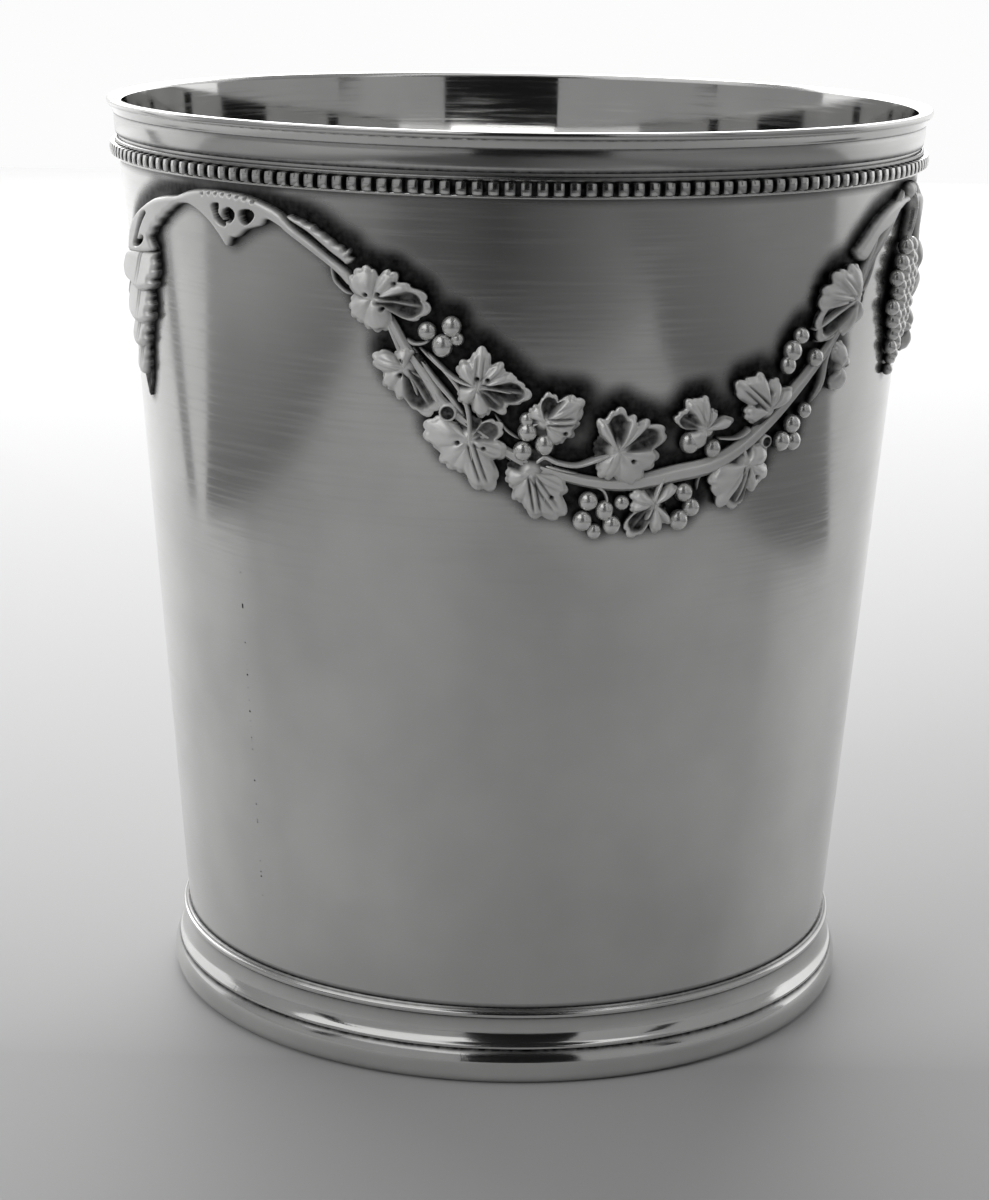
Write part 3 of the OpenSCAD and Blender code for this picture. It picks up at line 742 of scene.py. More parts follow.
# Stalks, midribs and tendrils that branch from it
STALKS = [
    [(-83.3, 0.417, 0.3, 0.5), (-82.2, 0.43, 0.25, 0.6), (-80.9, 0.427, 0.2, 0.6),
     (-80, 0.413, 0.18, 0.6)],
    [(-86, 0.35, 0.3, 0.8), (-84.6, 0.418, 0.28, 0.95), (-83.2, 0.497, 0.2, 1.05),
     (-82.2, 0.547, 0.16, 1), (-81.7, 0.587, 0.12, 0.9)],
    [(-81.5, 0.44, 0.18, 0.5), (-79.6, 0.478, 0.2, 0.7), (-77.8, 0.511, 0.2, 0.9),
     (-76.1, 0.535, 0.2, 1.1), (-73.8, 0.548, 0.18, 1.25), (-71.2, 0.557, 0.15, 1.15),
     (-69.3, 0.568, 0.1, 1)],
    [(-82.4, 0.441, 0.2, 0.5), (-79.6, 0.529, 0.28, 0.75), (-77.4, 0.587, 0.28, 0.8),
     (-75.6, 0.641, 0.22, 0.7)],
    [(-80.5, 0.455, 0.2, 0.5), (-78.7, 0.492, 0.24, 0.8), (-76.8, 0.541, 0.25, 0.95),
     (-75.6, 0.585, 0.26, 1.05), (-74.9, 0.641, 0.28, 1.2), (-74.7, 0.712, 0.28, 1.3),
     (-74.4, 0.77, 0.24, 1.25), (-74.2, 0.83, 0.18, 1.1)],
    [(-71.6, 0.633, 0.15, 0.5), (-70, 0.683, 0.18, 0.6), (-68.1, 0.713, 0.16, 0.5)],
    [(-66.7, 0.8, 0.3, 0.9), (-65, 0.766, 0.3, 0.8), (-63.2, 0.782, 0.28, 0.9),
     (-60.6, 0.791, 0.26, 1), (-57.9, 0.772, 0.3, 1.15), (-55.9, 0.755, 0.26, 1.1)],
    [(-64.9, 0.79, 0.2, 0.9), (-62.7, 0.804, 0.16, 0.85), (-60.3, 0.817, 0.1, 0.8)],
    [(-66.7, 0.81, 0.2, 1), (-65.6, 0.842, 0.2, 1.2), (-64.9, 0.882, 0.18, 1.25),
     (-64.7, 0.926, 0.12, 1.1)],
    [(-58.8, 0.85, 0.2, 0.7), (-57.4, 0.862, 0.2, 0.8), (-56.5, 0.88, 0.18, 0.8),
     (-56.1, 0.909, 0.14, 0.9)],
    [(-48.4, 0.83, 0.2, 0.9), (-48.6, 0.844, 0.26, 1), (-49.5, 0.891, 0.26, 1.2),
     (-50.3, 0.943, 0.2, 1.25), (-50.7, 0.969, 0.12, 1)],
    [(-52.7, 0.928, 0.12, 0.8), (-51.6, 0.913, 0.15, 1.2), (-50.2, 0.915, 0.14, 1.25)],
    [(-67, 0.67, 0.15, 0.7), (-66, 0.66, 0.16, 0.9), (-64.9, 0.644, 0.14, 1.2),
     (-62.5, 0.64, 0.12, 1.15)],
    [(-40.5, 0.725, 0.14, 0.7), (-40, 0.728, 0.16, 0.8), (-37.7, 0.732, 0.18, 0.85),
     (-36.2, 0.72, 0.22, 0.9), (-35.3, 0.704, 0.22, 0.9)],
    [(-36.4, 0.745, 0.3, 0.9), (-36.3, 0.769, 0.28, 1), (-35.9, 0.812, 0.28, 1.25),
     (-36.2, 0.86, 0.24, 1.3), (-37.1, 0.938, 0.14, 1.1)],
    [(-43, 0.889, 0.14, 0.5), (-42.9, 0.847, 0.16, 0.6), (-41.3, 0.819, 0.18, 0.7)],
    [(-14.9, 0.32, 0.3, 0.9), (-17.4, 0.335, 0.3, 1.2), (-19.6, 0.353, 0.25, 1.3),
     (-22, 0.378, 0.2, 1.2), (-24.9, 0.419, 0.14, 1)],
    [(-24.3, 0.457, 0.16, 0.6), (-21.8, 0.451, 0.2, 0.8), (-20.7, 0.436, 0.2, 0.8)],
    [(-20.2, 0.443, 0.4, 0.7), (-21.8, 0.512, 0.34, 0.8), (-22.4, 0.595, 0.3, 0.8),
     (-24.1, 0.652, 0.2, 0.6)],
    [(-11.5, 0.146, 0.34, 0.7), (-13.7, 0.211, 0.3, 0.8), (-15.5, 0.276, 0.26, 0.9),
     (-16.5, 0.32, 0.2, 1)],
]
# Cut stubs of the branch: angle, fall, diameter and height in vine sizes
STUBS = [(-77.6, 0.63, 0.95, 1.05), (-32.8, 0.749, 0.7, 1.0)]
# Outlines of the flat pieces, as angle and fall: the arch with the pierced knot
# and the hook, the openings through it, and the strips beside it and the roll
ARCH_OUTLINE = [
    (-139.6, 0.269), (-138.3, 0.216), (-136.1, 0.168), (-133.2, 0.129), (-129.8, 0.097),
    (-126.3, 0.069), (-122.8, 0.053), (-120.3, 0.047), (-117.6, 0.028), (-115.4, 0.018),
    (-112.7, 0.014), (-109.8, 0.015), (-107.1, 0.019), (-104.9, 0.029), (-102.8, 0.043),
    (-100.8, 0.062), (-99.8, 0.082), (-98.6, 0.105), (-96.4, 0.137), (-93.9, 0.176),
    (-91.2, 0.217), (-90.2, 0.245), (-90.7, 0.272), (-92.8, 0.226), (-95.2, 0.184),
    (-98.3, 0.141), (-100.6, 0.109), (-102.8, 0.087), (-103.5, 0.106), (-105.2, 0.118),
    (-106.5, 0.127), (-107.6, 0.146), (-108.6, 0.155), (-109.2, 0.155), (-109.6, 0.178),
    (-110.3, 0.183), (-111.4, 0.154), (-113.2, 0.115), (-115.1, 0.089), (-117.1, 0.072),
    (-118.6, 0.071), (-120.4, 0.078), (-122, 0.098), (-123.3, 0.111), (-124.2, 0.127),
    (-125.4, 0.137), (-125.9, 0.155), (-127.6, 0.17), (-128.1, 0.188), (-129.2, 0.202),
    (-128.6, 0.224), (-128.4, 0.244), (-133.4, 0.264), (-138, 0.272)]
ARCH_OPENINGS = [
    [(-130.3, 0.125), (-132.2, 0.158), (-134.1, 0.205), (-135.7, 0.24), (-134.1, 0.241),
     (-132, 0.225), (-131, 0.206), (-131.8, 0.204), (-132.9, 0.219), (-133.6, 0.216),
     (-132.3, 0.182), (-130.6, 0.147), (-129.2, 0.122)],
    [(-112.2, 0.059), (-110.9, 0.054), (-111.1, 0.084), (-109.8, 0.111), (-110.4, 0.119),
     (-111.5, 0.107), (-112, 0.082)],
    [(-107.1, 0.07), (-105.5, 0.063), (-104.7, 0.074), (-105.2, 0.092), (-106.3, 0.108),
     (-107, 0.098)],
    [(-109.1, 0.063), (-108.2, 0.073), (-108.2, 0.089), (-109, 0.106), (-109.8, 0.103),
     (-110.3, 0.089), (-110.1, 0.073)]]
ARCH_PUNCHES = [
    (-114, 0.029), (-112.7, 0.026), (-111.4, 0.025), (-110.1, 0.025), (-108.8, 0.026),
    (-107.5, 0.028), (-106.2, 0.031), (-104.9, 0.038)]
ARCH_STRIP = [
    (-99.8, 0.071), (-99, 0.068), (-98.2, 0.077), (-97.4, 0.079), (-96.7, 0.089), (-95.8, 0.092),
    (-95.3, 0.105), (-94.4, 0.113), (-93.8, 0.125), (-93.1, 0.131), (-92.6, 0.143),
    (-91.7, 0.149), (-91.3, 0.162), (-90.8, 0.154), (-90.5, 0.166), (-90.8, 0.176),
    (-90.1, 0.183), (-90.4, 0.196), (-91.2, 0.204), (-91.9, 0.192), (-93.3, 0.171),
    (-94.8, 0.145), (-96.6, 0.115), (-98.2, 0.096), (-99.2, 0.084)]
ARCH_LOOP = [
    (-93.4, 0.205, 0.2, 0.6), (-93, 0.249, 0.2, 0.6), (-92.2, 0.271, 0.2, 0.6),
    (-91.3, 0.286, 0.18, 0.6), (-90.3, 0.292, 0.14, 0.5)]
FRONT_STRIP = [
    (-1.8, 0.042), (-3.9, 0.043), (-6.9, 0.052), (-9.5, 0.069), (-11.8, 0.092),
    (-13.8, 0.121), (-15.2, 0.148), (-16.5, 0.172), (-17.4, 0.19), (-16.7, 0.215), (-14.9, 0.225),
    (-13.7, 0.209), (-12.5, 0.176), (-11.1, 0.151), (-8.6, 0.135), (-7.1, 0.113), (-5.8, 0.089),
    (-3.4, 0.069), (-1.8, 0.066)]
FRONT_LOOP = [
    (-10.9, 0.164, 0.2, 0.7), (-12.2, 0.222, 0.2, 0.7), (-12.9, 0.266, 0.18, 0.7),
    (-13.9, 0.304, 0.18, 0.7), (-15.2, 0.326, 0.16, 0.7)]
# The drop of leaves beside each arch: outlines from the top, each one over the next
DROP_LEAVES = [
    [(-140.5, 0.27), (-134, 0.255), (-128.2, 0.247), (-128.4, 0.27), (-127.9, 0.287),
     (-128.3, 0.304), (-128, 0.309), (-128.5, 0.329), (-129.4, 0.34), (-128.8, 0.35),
     (-130, 0.37), (-134, 0.385), (-137, 0.372), (-140, 0.365), (-142.2, 0.335), (-142, 0.3)],
    [(-143.3, 0.375), (-141.8, 0.36), (-140.6, 0.375), (-140.8, 0.4), (-142.1, 0.43),
     (-143.6, 0.42)],
    [(-139.5, 0.36), (-133, 0.36), (-130.8, 0.394), (-131.2, 0.411), (-130.5, 0.425),
     (-131.6, 0.447), (-131, 0.459), (-131.8, 0.479), (-135, 0.497), (-138.5, 0.487),
     (-140.5, 0.46), (-140.8, 0.41)],
    [(-138.5, 0.46), (-134, 0.46), (-132.6, 0.484), (-133.1, 0.499), (-132.8, 0.514),
     (-133.9, 0.53), (-133.4, 0.546), (-134.6, 0.565), (-136.6, 0.58), (-139, 0.565),
     (-140, 0.53), (-139.6, 0.49)],
    [(-138, 0.545), (-135, 0.545), (-134, 0.563), (-134.4, 0.583), (-134.2, 0.597),
     (-135, 0.615), (-134.8, 0.63), (-135.4, 0.655), (-137, 0.672), (-139, 0.655),
     (-139.6, 0.61), (-139, 0.57)],
    [(-138, 0.635), (-135.6, 0.64), (-135, 0.655), (-135.3, 0.675), (-135.4, 0.69),
     (-136.4, 0.72), (-137, 0.745), (-138, 0.72), (-138.9, 0.68)]]
# Height of each leaf of the drop at its foot, in leaf heights: the drop thins to its tip
DROP_FEET = [0.85, 0.5, 0.82, 0.76, 0.62, 0.24]
# Height at the top of such a leaf over that at its foot, and how deep its midrib is cut
DROP_TOP = 0.45
DROP_RIB = 0.2 * MM
# Heights of the arch and the strips at their top and their foot, in vine heights
ARCH_RISE = (0.8, 0.7)
FRONT_RISE = (0.85, 0.7)
# Flat cast work: step of its grid, how deep its sides go into the wall, least height
RELIEF_STEP = 0.09 * MM
RELIEF_SIDE = 0.3 * MM
RELIEF_LEAST = 0.25 * MM
# Width of the rounding of its top, on the arch, the front strip and the drop, and of
# its rim
RELIEF_BEVEL = 0.55 * MM
FRONT_BEVEL = 0.6 * MM
DROP_BEVEL = 0.7 * MM
RELIEF_RIM = 0.2 * MM
# How far an opening's edge stands back, and the foot of a side is drawn in
OPENING_GAP = 0.03 * MM
SIDE_TUCK = 0.02 * MM
# The two cuts beside a midrib: their distance from it, and their half width
RIB_PLACE = 0.3 * MM
RIB_HALF = 0.13 * MM
PUNCH_RADIUS = 0.17 * MM
PUNCH_DEPTH = 0.4 * MM
# Grid steps over which a hollow is judged, and the depths where its painted shade and tarnish start
# and are full
HOLLOW_REACH = 4
HOLLOW_DARK = (0.05 * MM, 0.34 * MM)
CURVE_POINTS = 3


def edge_distance(outline, x, y):
    """Distance of places from a closed outline, above 0 inside it."""
    nearest = np.full(x.shape, np.inf)
    inside = np.zeros(x.shape, bool)
    for (x0, y0), (x1, y1) in zip(outline, np.roll(outline, -1, axis=0)):
        dx, dy = x1 - x0, y1 - y0
        t = np.clip(((x - x0) * dx + (y - y0) * dy) / max(dx * dx + dy * dy, 1e-18), 0, 1)
        nearest = np.minimum(nearest, np.hypot(x - x0 - t * dx, y - y0 - t * dy))
        if dy != 0:
            inside ^= ((y0 > y) != (y1 > y)) & (x < x0 + (y - y0) * dx / dy)
    return np.where(inside, nearest, -nearest)


def closed_curve(outline, centre):
    """A smooth closed outline on the unrolled wall, from angles and falls."""
    loop = smooth_line([outline[-1], *outline, outline[0], outline[1]], CURVE_POINTS)
    loop = loop[CURVE_POINTS : -CURVE_POINTS - 1]
    x = np.radians(loop[:, 0] - centre[0]) * body_radius(hang_z(centre[1]))
    y = (centre[1] - loop[:, 1]) * sizes().swag_drop / math.cos(LEAN)
    return np.column_stack([x, y])


def spread(values, reach):
    """Mean of the values over a square round each place."""
    for axis in (0, 1):
        total = sum(np.roll(values, k, axis) for k in range(-reach, reach + 1))
        values = total / (2 * reach + 1)
    return values


def rounded(share):
    """Height of a quarter circle at a share of its reach."""
    return np.sqrt(1 - (1 - share) ** 2)


def relief_mesh(side, plates, openings=(), punches=(), bevel=RELIEF_BEVEL):
    """Flat cast work: plates of (outline, height at its top, height at its foot,
    midrib) that are laid on the wall, with openings cut through them."""
    every = np.array([p for outline, *_ in plates for p in outline])
    centre = (every.min(0) + every.max(0)) / 2
    curves = [closed_curve(outline, centre) for outline, *_ in plates]
    low = np.min([c.min(0) for c in curves], 0) - 4 * RELIEF_STEP
    high = np.max([c.max(0) for c in curves], 0) + 4 * RELIEF_STEP
    count = np.ceil((high - low) / RELIEF_STEP).astype(int)
    x, y = np.meshgrid(*(start + RELIEF_STEP * np.arange(steps + 1)
                         for start, steps in zip(low, count)))
    insides = [edge_distance(curve, x, y) for curve in curves]
    edge = np.max(insides, 0)
    for opening in openings:
        inner = edge_distance(closed_curve(opening, centre), x, y)
        edge = np.minimum(edge, -inner - OPENING_GAP)
    # Places beside an edge move onto it, so that the outline is clean
    on_edge = np.abs(edge) < 0.5 * RELIEF_STEP
    below = (edge < -0.4 * RELIEF_STEP) & (edge > -1.7 * RELIEF_STEP)
    gy, gx = np.gradient(edge, RELIEF_STEP)
    move = np.where(on_edge, edge, np.where(below, edge + SIDE_TUCK, 0))
    height = np.zeros(x.shape)
    for inside, curve, (outline, at_top, at_foot, rib) in zip(insides, curves, plates):
        down = np.clip((curve[:, 1].max() - y) / np.ptp(curve[:, 1]), 0, 1)
        rounding = np.where(on_edge, 0, np.clip(inside / bevel, 0, 1))
        crown = 0.4 + 0.6 * rounded(rounding)
        level = (at_top + (at_foot - at_top) * down) * crown
        if rib:
            tip = curve[curve[:, 1].argmin(), 0]
            across = np.abs(x - np.interp(down, (0, 1), (curve[:, 0].mean(), tip)))
            level -= rib * np.exp(-(((across - RIB_PLACE) / RIB_HALF) ** 2)) * (1 - down)
        height = np.maximum(height, np.where(inside > -0.5 * RELIEF_STEP, level, 0))
    rim = np.where(on_edge, 0, np.clip(edge / RELIEF_RIM, 0, 1))
    height *= 0.75 + 0.25 * rounded(rim)
    for punch in punches:
        px, py = closed_curve([punch, punch, punch], centre)[0]
        away = ((x - px) ** 2 + (y - py) ** 2) / PUNCH_RADIUS**2
        height -= PUNCH_DEPTH * np.exp(-(away**2))
    raised = np.maximum(height, RELIEF_LEAST)
    height = np.where(edge > -0.4 * RELIEF_STEP, raised, -RELIEF_SIDE)
    # Places sunk below their neighbours get painted shade and tarnish
    sunk = spread(np.maximum(height, 0), HOLLOW_REACH) - height
    dark = ease(sunk, *HOLLOW_DARK)
    x, y = x - move * gx, y - move * gy

    bm = bmesh.new()
    bmesh.ops.create_grid(bm, x_segments=count[0], y_segments=count[1], size=0.5)
    column = [round((v.co.x + 0.5) * count[0]) for v in bm.verts]
    row = [round((v.co.y + 0.5) * count[1]) for v in bm.verts]
    for v, i, j in zip(bm.verts, row, column):
        v.co = (x[i, j], y[i, j], height[i, j])
    set_darkness(bm, dark[row, column])
    under = [f for f in bm.faces if all(v.co.z < 0 for v in f.verts)]
    bmesh.ops.delete(bm, geom=under, context="FACES")
    wrap(bm, centre[0], centre[1], side)
    return bm


def spin(bm, geom, angle, steps, axis=(0, 0, 1), close=False, copy=False):
    """Spins geometry about an axis through the origin."""
    bmesh.ops.spin(
        bm, geom=geom, cent=(0, 0, 0), axis=axis, dvec=(0, 0, 0), angle=angle,
        steps=steps, use_merge=close, use_duplicate=copy,
    )


def whole_turn(bm, profile, axis, steps):
    """Spins a profile of points once round an axis through the origin."""
    verts = [bm.verts.new(point) for point in profile]
    edges = [bm.edges.new(pair) for pair in zip(verts, verts[1:])]
    spin(bm, verts + edges, FULL_TURN, steps, axis, close=True)


def everything(bm):
    """All of a mesh, as geometry to spin."""
    return bm.verts[:] + bm.edges[:] + bm.faces[:]


# Section of a cut stub, in its radius and its height, and the radius of its hollow
STUB_SECTION = [
    (1.12, -0.1), (1.08, 0.5), (1.0, 0.95), (0.86, 1.05), (0.7, 0.98), (0.62, 0.88), (0, 0.86)]
STUB_HOLLOW = 0.72
STUB_STEPS = 20


def stub(bm, angle, share, across, rise, side):
    """The cut end of a stem: a short upright ring. Returns its hollow face."""
    turn = side * math.radians(angle)
    out = outward(turn)
    radius = across * sizes().vine_width / 2
    height = rise * sizes().vine_height
    before = set(bm.verts)
    profile = [(x * radius, 0, z * height) for x, z in STUB_SECTION]
    whole_turn(bm, profile, (0, 0, 1), STUB_STEPS)
    ring = [v for v in bm.verts if v not in before]
    hollow = [v for v in ring if v.co.xy.length < STUB_HOLLOW * radius]
    upright = out.to_track_quat("Z", "Y").to_matrix().to_4x4()
    place = Matrix.Translation(on_cup(turn, hang_z(share), 0))
    bmesh.ops.transform(bm, matrix=place @ upright, verts=ring)
    return hollow


# Front knot and hanging bunch

# Half of the roll's section: place along its length, and distance from its axis
ROLL_HALF = [
    (0.0, 0.48), (0.17, 0.5), (0.24, 0.47), (0.33, 0.4), (0.39, 0.31), (0.42, 0.24),
    (0.4, 0.18), (0.34, 0.14), (0.38, 0.1), (0.4, 0.0)]
ROLL_LENGTH = 3.4 * MM
ROLL_DIAMETER = 2.05 * MM
ROLL_STEPS = 40
KNOT_SHARE = 0.03
STEM_END_SHARE = 0.18
# Grapes of each row of the bunch, from the top down
BUNCH_ROWS = [2, 3, 4, 3, 4, 3, 2, 2, 1, 1]
# In grape sizes: steps along a row and down to the next, how high the two layers of
# grapes stand, and how far the second one hangs lower
GRAPE_STEP = 1.02
ROW_STEP = 0.85
LAYER_LIFT = (0.55, 0.62)
LAYER_DROP = 0.45
BUNCH_STEM = [
    (0, KNOT_SHARE, 0.6, 1.1), (0.3, 0.09, 0.4, 1.2), (-0.2, 0.15, 0.36, 1.1), (0, 0.2, 0.4, 0.9)]


def roll_mesh():
    """The curled roll: a spindle round an axis that lies across the front."""
    bm = bmesh.new()
    line = ROLL_HALF + [(r, -x) for r, x in reversed(ROLL_HALF[:-1])]
    profile = [(x * ROLL_LENGTH, 0, r * ROLL_DIAMETER) for r, x in line]
    whole_turn(bm, profile, (1, 0, 0), ROLL_STEPS)
    bmesh.ops.remove_doubles(bm, verts=bm.verts, dist=MERGE)
    # The roll is sunk in the wall, and leans with it
    place = Matrix.Translation(on_cup(0, hang_z(KNOT_SHARE), ROLL_DIAMETER / 8))
    tip = Matrix.Rotation(-LEAN, 4, "X")
    bmesh.ops.transform(bm, matrix=place @ tip, verts=bm.verts)
    bmesh.ops.recalc_face_normals(bm, faces=bm.faces)
    garland_darkness(bm)
    return bm


def bunch_mesh():
    """The bunch of grapes: two layers of balls, which shrink downwards, on a stem."""
    bm = bmesh.new()
    size = sizes().grape_diameter
    z = hang_z(STEM_END_SHARE) - size / 2
    last = len(BUNCH_ROWS) - 1
    for row, count in enumerate(BUNCH_ROWS):
        grape = size * (1 - 0.3 * (row / last) ** 3)
        swell = 1 - 0.55 * (row / last) ** 2
        for layer, lift in enumerate(LAYER_LIFT):
            height = z - layer * LAYER_DROP * size
            for k in range(count - layer):
                angle = (k - (count - layer - 1) / 2) * GRAPE_STEP * size / body_radius(height)
                scale = 0.9 if layer else 0.97 + 0.05 * ((row + k) % 2)
                place = on_cup(angle, height, lift * swell * size)
                ball(bm, place, scale * grape, outward(angle))
        z -= ROW_STEP * grape
    strand(bm, BUNCH_STEM)
    bmesh.ops.recalc_face_normals(bm, faces=bm.faces)
    garland_darkness(bm)
    return bm


# Mouldings: reach, height and darkness along each section; the darkness is a painted shade in their
# creases and where they meet the wall

LIP_SECTION = [
    (0.02, 0.0, 1), (0.16, 0.0, 1), (0.25, 0.05, 0.75), (0.31, 0.13, 0.1), (0.34, 0.3, 0),
    (0.32, 0.45, 0), (0.28, 0.55, 0.2), (0.28, 0.585, 0.75), (0.36, 0.61, 0.1), (0.46, 0.68, 0),
    (0.64, 0.76, 0), (0.82, 0.81, 0.25), (0.93, 0.835, 0.35), (1.0, 0.87, 0), (1.02, 0.92, 0),
    (0.97, 0.96, 0), (0.8, 0.99, 0), (0.5, 1.0, 0), (0.1, 0.995, 0), (-0.3, 0.97, 0)]
# The lip's widest place in its section, and how far it folds over the wall's edge
LIP_WIDEST = (1.02, 0.92)
LIP_FOLD = 0.12 * MM
BAND_SECTION = [
    (0.0, 0.0, 1), (0.9, 0.0, 0.8), (0.98, 0.01, 0.1), (1.0, 0.045, 0), (0.95, 0.08, 0),
    (0.74, 0.15, 0), (0.53, 0.27, 0), (0.4, 0.42, 0), (0.34, 0.58, 0.05), (0.33, 0.7, 0.3),
    (0.34, 0.755, 0.9), (0.4, 0.775, 0.6), (0.48, 0.79, 0), (0.51, 0.84, 0), (0.46, 0.89, 0),
    (0.34, 0.92, 0.2), (0.26, 0.95, 0.7), (0.16, 0.975, 0.4), (0.1, 0.995, 0.9), (0.0, 1.0, 1)]
RING_SECTION = [
    (0.42, 0.0, 0.9), (0.66, 0.05, 0.5), (0.86, 0.16, 0.2), (0.97, 0.32, 0), (1.0, 0.48, 0),
    (0.97, 0.64, 0), (0.88, 0.78, 0), (0.78, 0.87, 0.2), (0.66, 0.94, 0.9), (0.54, 1.0, 1)]
# The cup is spun in this many equal sectors, and its pieces in multiples of it
SECTORS = 24
SPIN_STEPS = 480
WALL_STEPS = 528
BASE_STEPS = 240
CURVE_STEPS = 5


def spun(section, steps):
    """Spins a closed section of (radius, height, darkness) round the cup's axis.
    One sector is spun first and then repeated, which is quicker."""
    bm = bmesh.new()
    layer = bm.verts.layers.float.new(DARKNESS)
    verts = [bm.verts.new((r, 0, z)) for r, z, _ in section]
    for vert, (_, _, dark) in zip(verts, section):
        vert[layer] = float(dark)
    for pair in zip(verts, verts[1:] + verts[:1]):
        bm.edges.new(pair)
    sector = FULL_TURN / SECTORS
    spin(bm, everything(bm), sector, steps // SECTORS)
    spin(bm, everything(bm), FULL_TURN - sector, SECTORS - 1, copy=True)
    bmesh.ops.remove_doubles(bm, verts=bm.verts, dist=MERGE)
    bmesh.ops.recalc_face_normals(bm, faces=bm.faces)
    return bm


def outside(section, reach, low, high):
    """Places a section on the body's outside, with its curves smoothed."""
    places = []
    for x, share, dark in smooth_line(section, CURVE_STEPS):
        z = low + share * (high - low)
        places.append((body_radius(z) + x * reach, z, min(max(dark, 0), 1)))
    return places


# The row of beads between its two fillets: from the edges of the wire, and outwards
BEAD_LOW = WIRE_LOW_Z + 0.3 * MM
BEAD_TOP = WIRE_TOP_Z - 0.45 * MM
BEAD_ROOT = body_radius(BEAD_LOW)
BEAD_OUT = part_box("beaded_wire")[1].x - BEAD_ROOT
FILLET_OUT = 0.5
GROUND_OUT = 0.22
FILLET_STEPS = 6
# A bead: cuts across a side of its cube, how far it is rounded, and its size in the
# pitch, in the reach of the row and in its height
BEAD_CUTS = 3
BEAD_ROUND = 0.5
BEAD_SIZE = (0.74, 1.3, 1.02)


def lip_section():
    """Section of the lip, folded over the wall's edge."""
    widest = LIP_LOW_Z + LIP_WIDEST[1] * (CUP_H - LIP_LOW_Z)
    reach = (LIP_R - body_radius(widest)) / LIP_WIDEST[0]
    rim = outside(LIP_SECTION, reach, LIP_LOW_Z, CUP_H)
    inner_r = WALL_TOP_R - WALL_T + LIP_FOLD
    return rim + [(inner_r, WALL_TOP_Z, 0.3), (WALL_TOP_R, WALL_TOP_Z, 0)]


def band_section():
    """Section of the foot's upper band, which lies on the wall's slope."""
    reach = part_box("foot_band")[1].x - body_radius(BAND_LOW_Z)
    return outside(BAND_SECTION, reach, BAND_LOW_Z, FOOT_H)


def ring_section():
    """Section of the foot ring, with the ledge that the wall stands on."""
    waist = body_radius(FOOT_H)
    ring = [
        (waist + x * (RING_R - waist), share * RING_H, min(max(dark, 0), 1))
        for x, share, dark in smooth_line(RING_SECTION, CURVE_STEPS)
    ]
    outer = body_radius(WALL_LOW_Z)
    ledge = [(outer, WALL_LOW_Z, 1), (outer - WALL_T, WALL_LOW_Z, 1), (outer - WALL_T, 0, 1)]
    return ring + [(body_radius(RING_H), RING_H, 1)] + ledge


def wire_section():
    """The two fillets and the ground between them, darkened by painted shade, as one section."""
    rows = []
    ground = BEAD_ROOT + GROUND_OUT * BEAD_OUT
    # The upper fillet gets a painted shade all over, and each fillet a darker one at its edges
    for low, high, shade in ((WIRE_LOW_Z, BEAD_LOW, 0), (BEAD_TOP, WIRE_TOP_Z, 0.55)):
        half = (high - low) / 2
        for k in range(FILLET_STEPS + 1):
            turn = math.pi * (k / FILLET_STEPS - 0.5)
            bulge = FILLET_OUT * BEAD_OUT - half + half * math.cos(turn)
            dark = 0.8 if k in (0, FILLET_STEPS) else shade
            rows.append((BEAD_ROOT + bulge, (low + high) / 2 + half * math.sin(turn), dark))
        if high == BEAD_LOW:
            rows += [(ground, BEAD_LOW, 1), (ground, BEAD_TOP, 1)]
    ends = [(body_radius(z), z, 1) for z in (WIRE_LOW_Z, WIRE_TOP_Z)]
    return [ends[0], *rows, ends[1]]


def bead_ring(count):
    """A row of squarish beads: one bead, repeated round the cup."""
    bm = bmesh.new()
    layer = bm.verts.layers.float.new(DARKNESS)
    bmesh.ops.create_cube(bm, size=1)
    bmesh.ops.subdivide_edges(bm, edges=bm.edges, cuts=BEAD_CUTS, use_grid_fill=True)
    pitch = FULL_TURN * (BEAD_ROOT + 0.6 * BEAD_OUT) / count
    full = (pitch, BEAD_OUT, BEAD_TOP - BEAD_LOW)
    for v in bm.verts:
        v.co = v.co.lerp(v.co.normalized() * 0.56, BEAD_ROUND)
        # Painted shade on each bead's sides and back, in the crevices between beads
        v[layer] = float(max(ease(abs(v.co.x), 0.34, 0.5), 1 - ease(v.co.y, -0.1, 0.2)))
    scale = Matrix.Diagonal([share * size for share, size in zip(BEAD_SIZE, full)] + [1])
    middle = BEAD_ROOT + BEAD_OUT * (1 - BEAD_SIZE[1] / 2)
    place = Matrix.Translation((0, middle, (BEAD_LOW + BEAD_TOP) / 2))
    bmesh.ops.transform(bm, matrix=place @ scale, verts=bm.verts)
    spin(bm, everything(bm), FULL_TURN * (count - 1) / count, count - 1, copy=True)
    return bm


# The body


# Heights of the wall's rows: behind the foot, on the bare wall, behind the garland,
# and the least one
ROW_BEHIND_FOOT = 1.5 * MM
ROW_BARE = 1.6 * MM
ROW_FINE = 0.42 * MM
ROW_LEAST = 0.1 * MM
# The fine rows just over the foot: how far they reach, and their number
OVER_FOOT = 1.2 * MM
ROWS_OVER_FOOT = 6
ROWS_INSIDE = 40
# The base plate's rings, and the share of its radius within which it has no painted shade
BASE_RINGS = 30
BASE_UNSHADED = 0.98


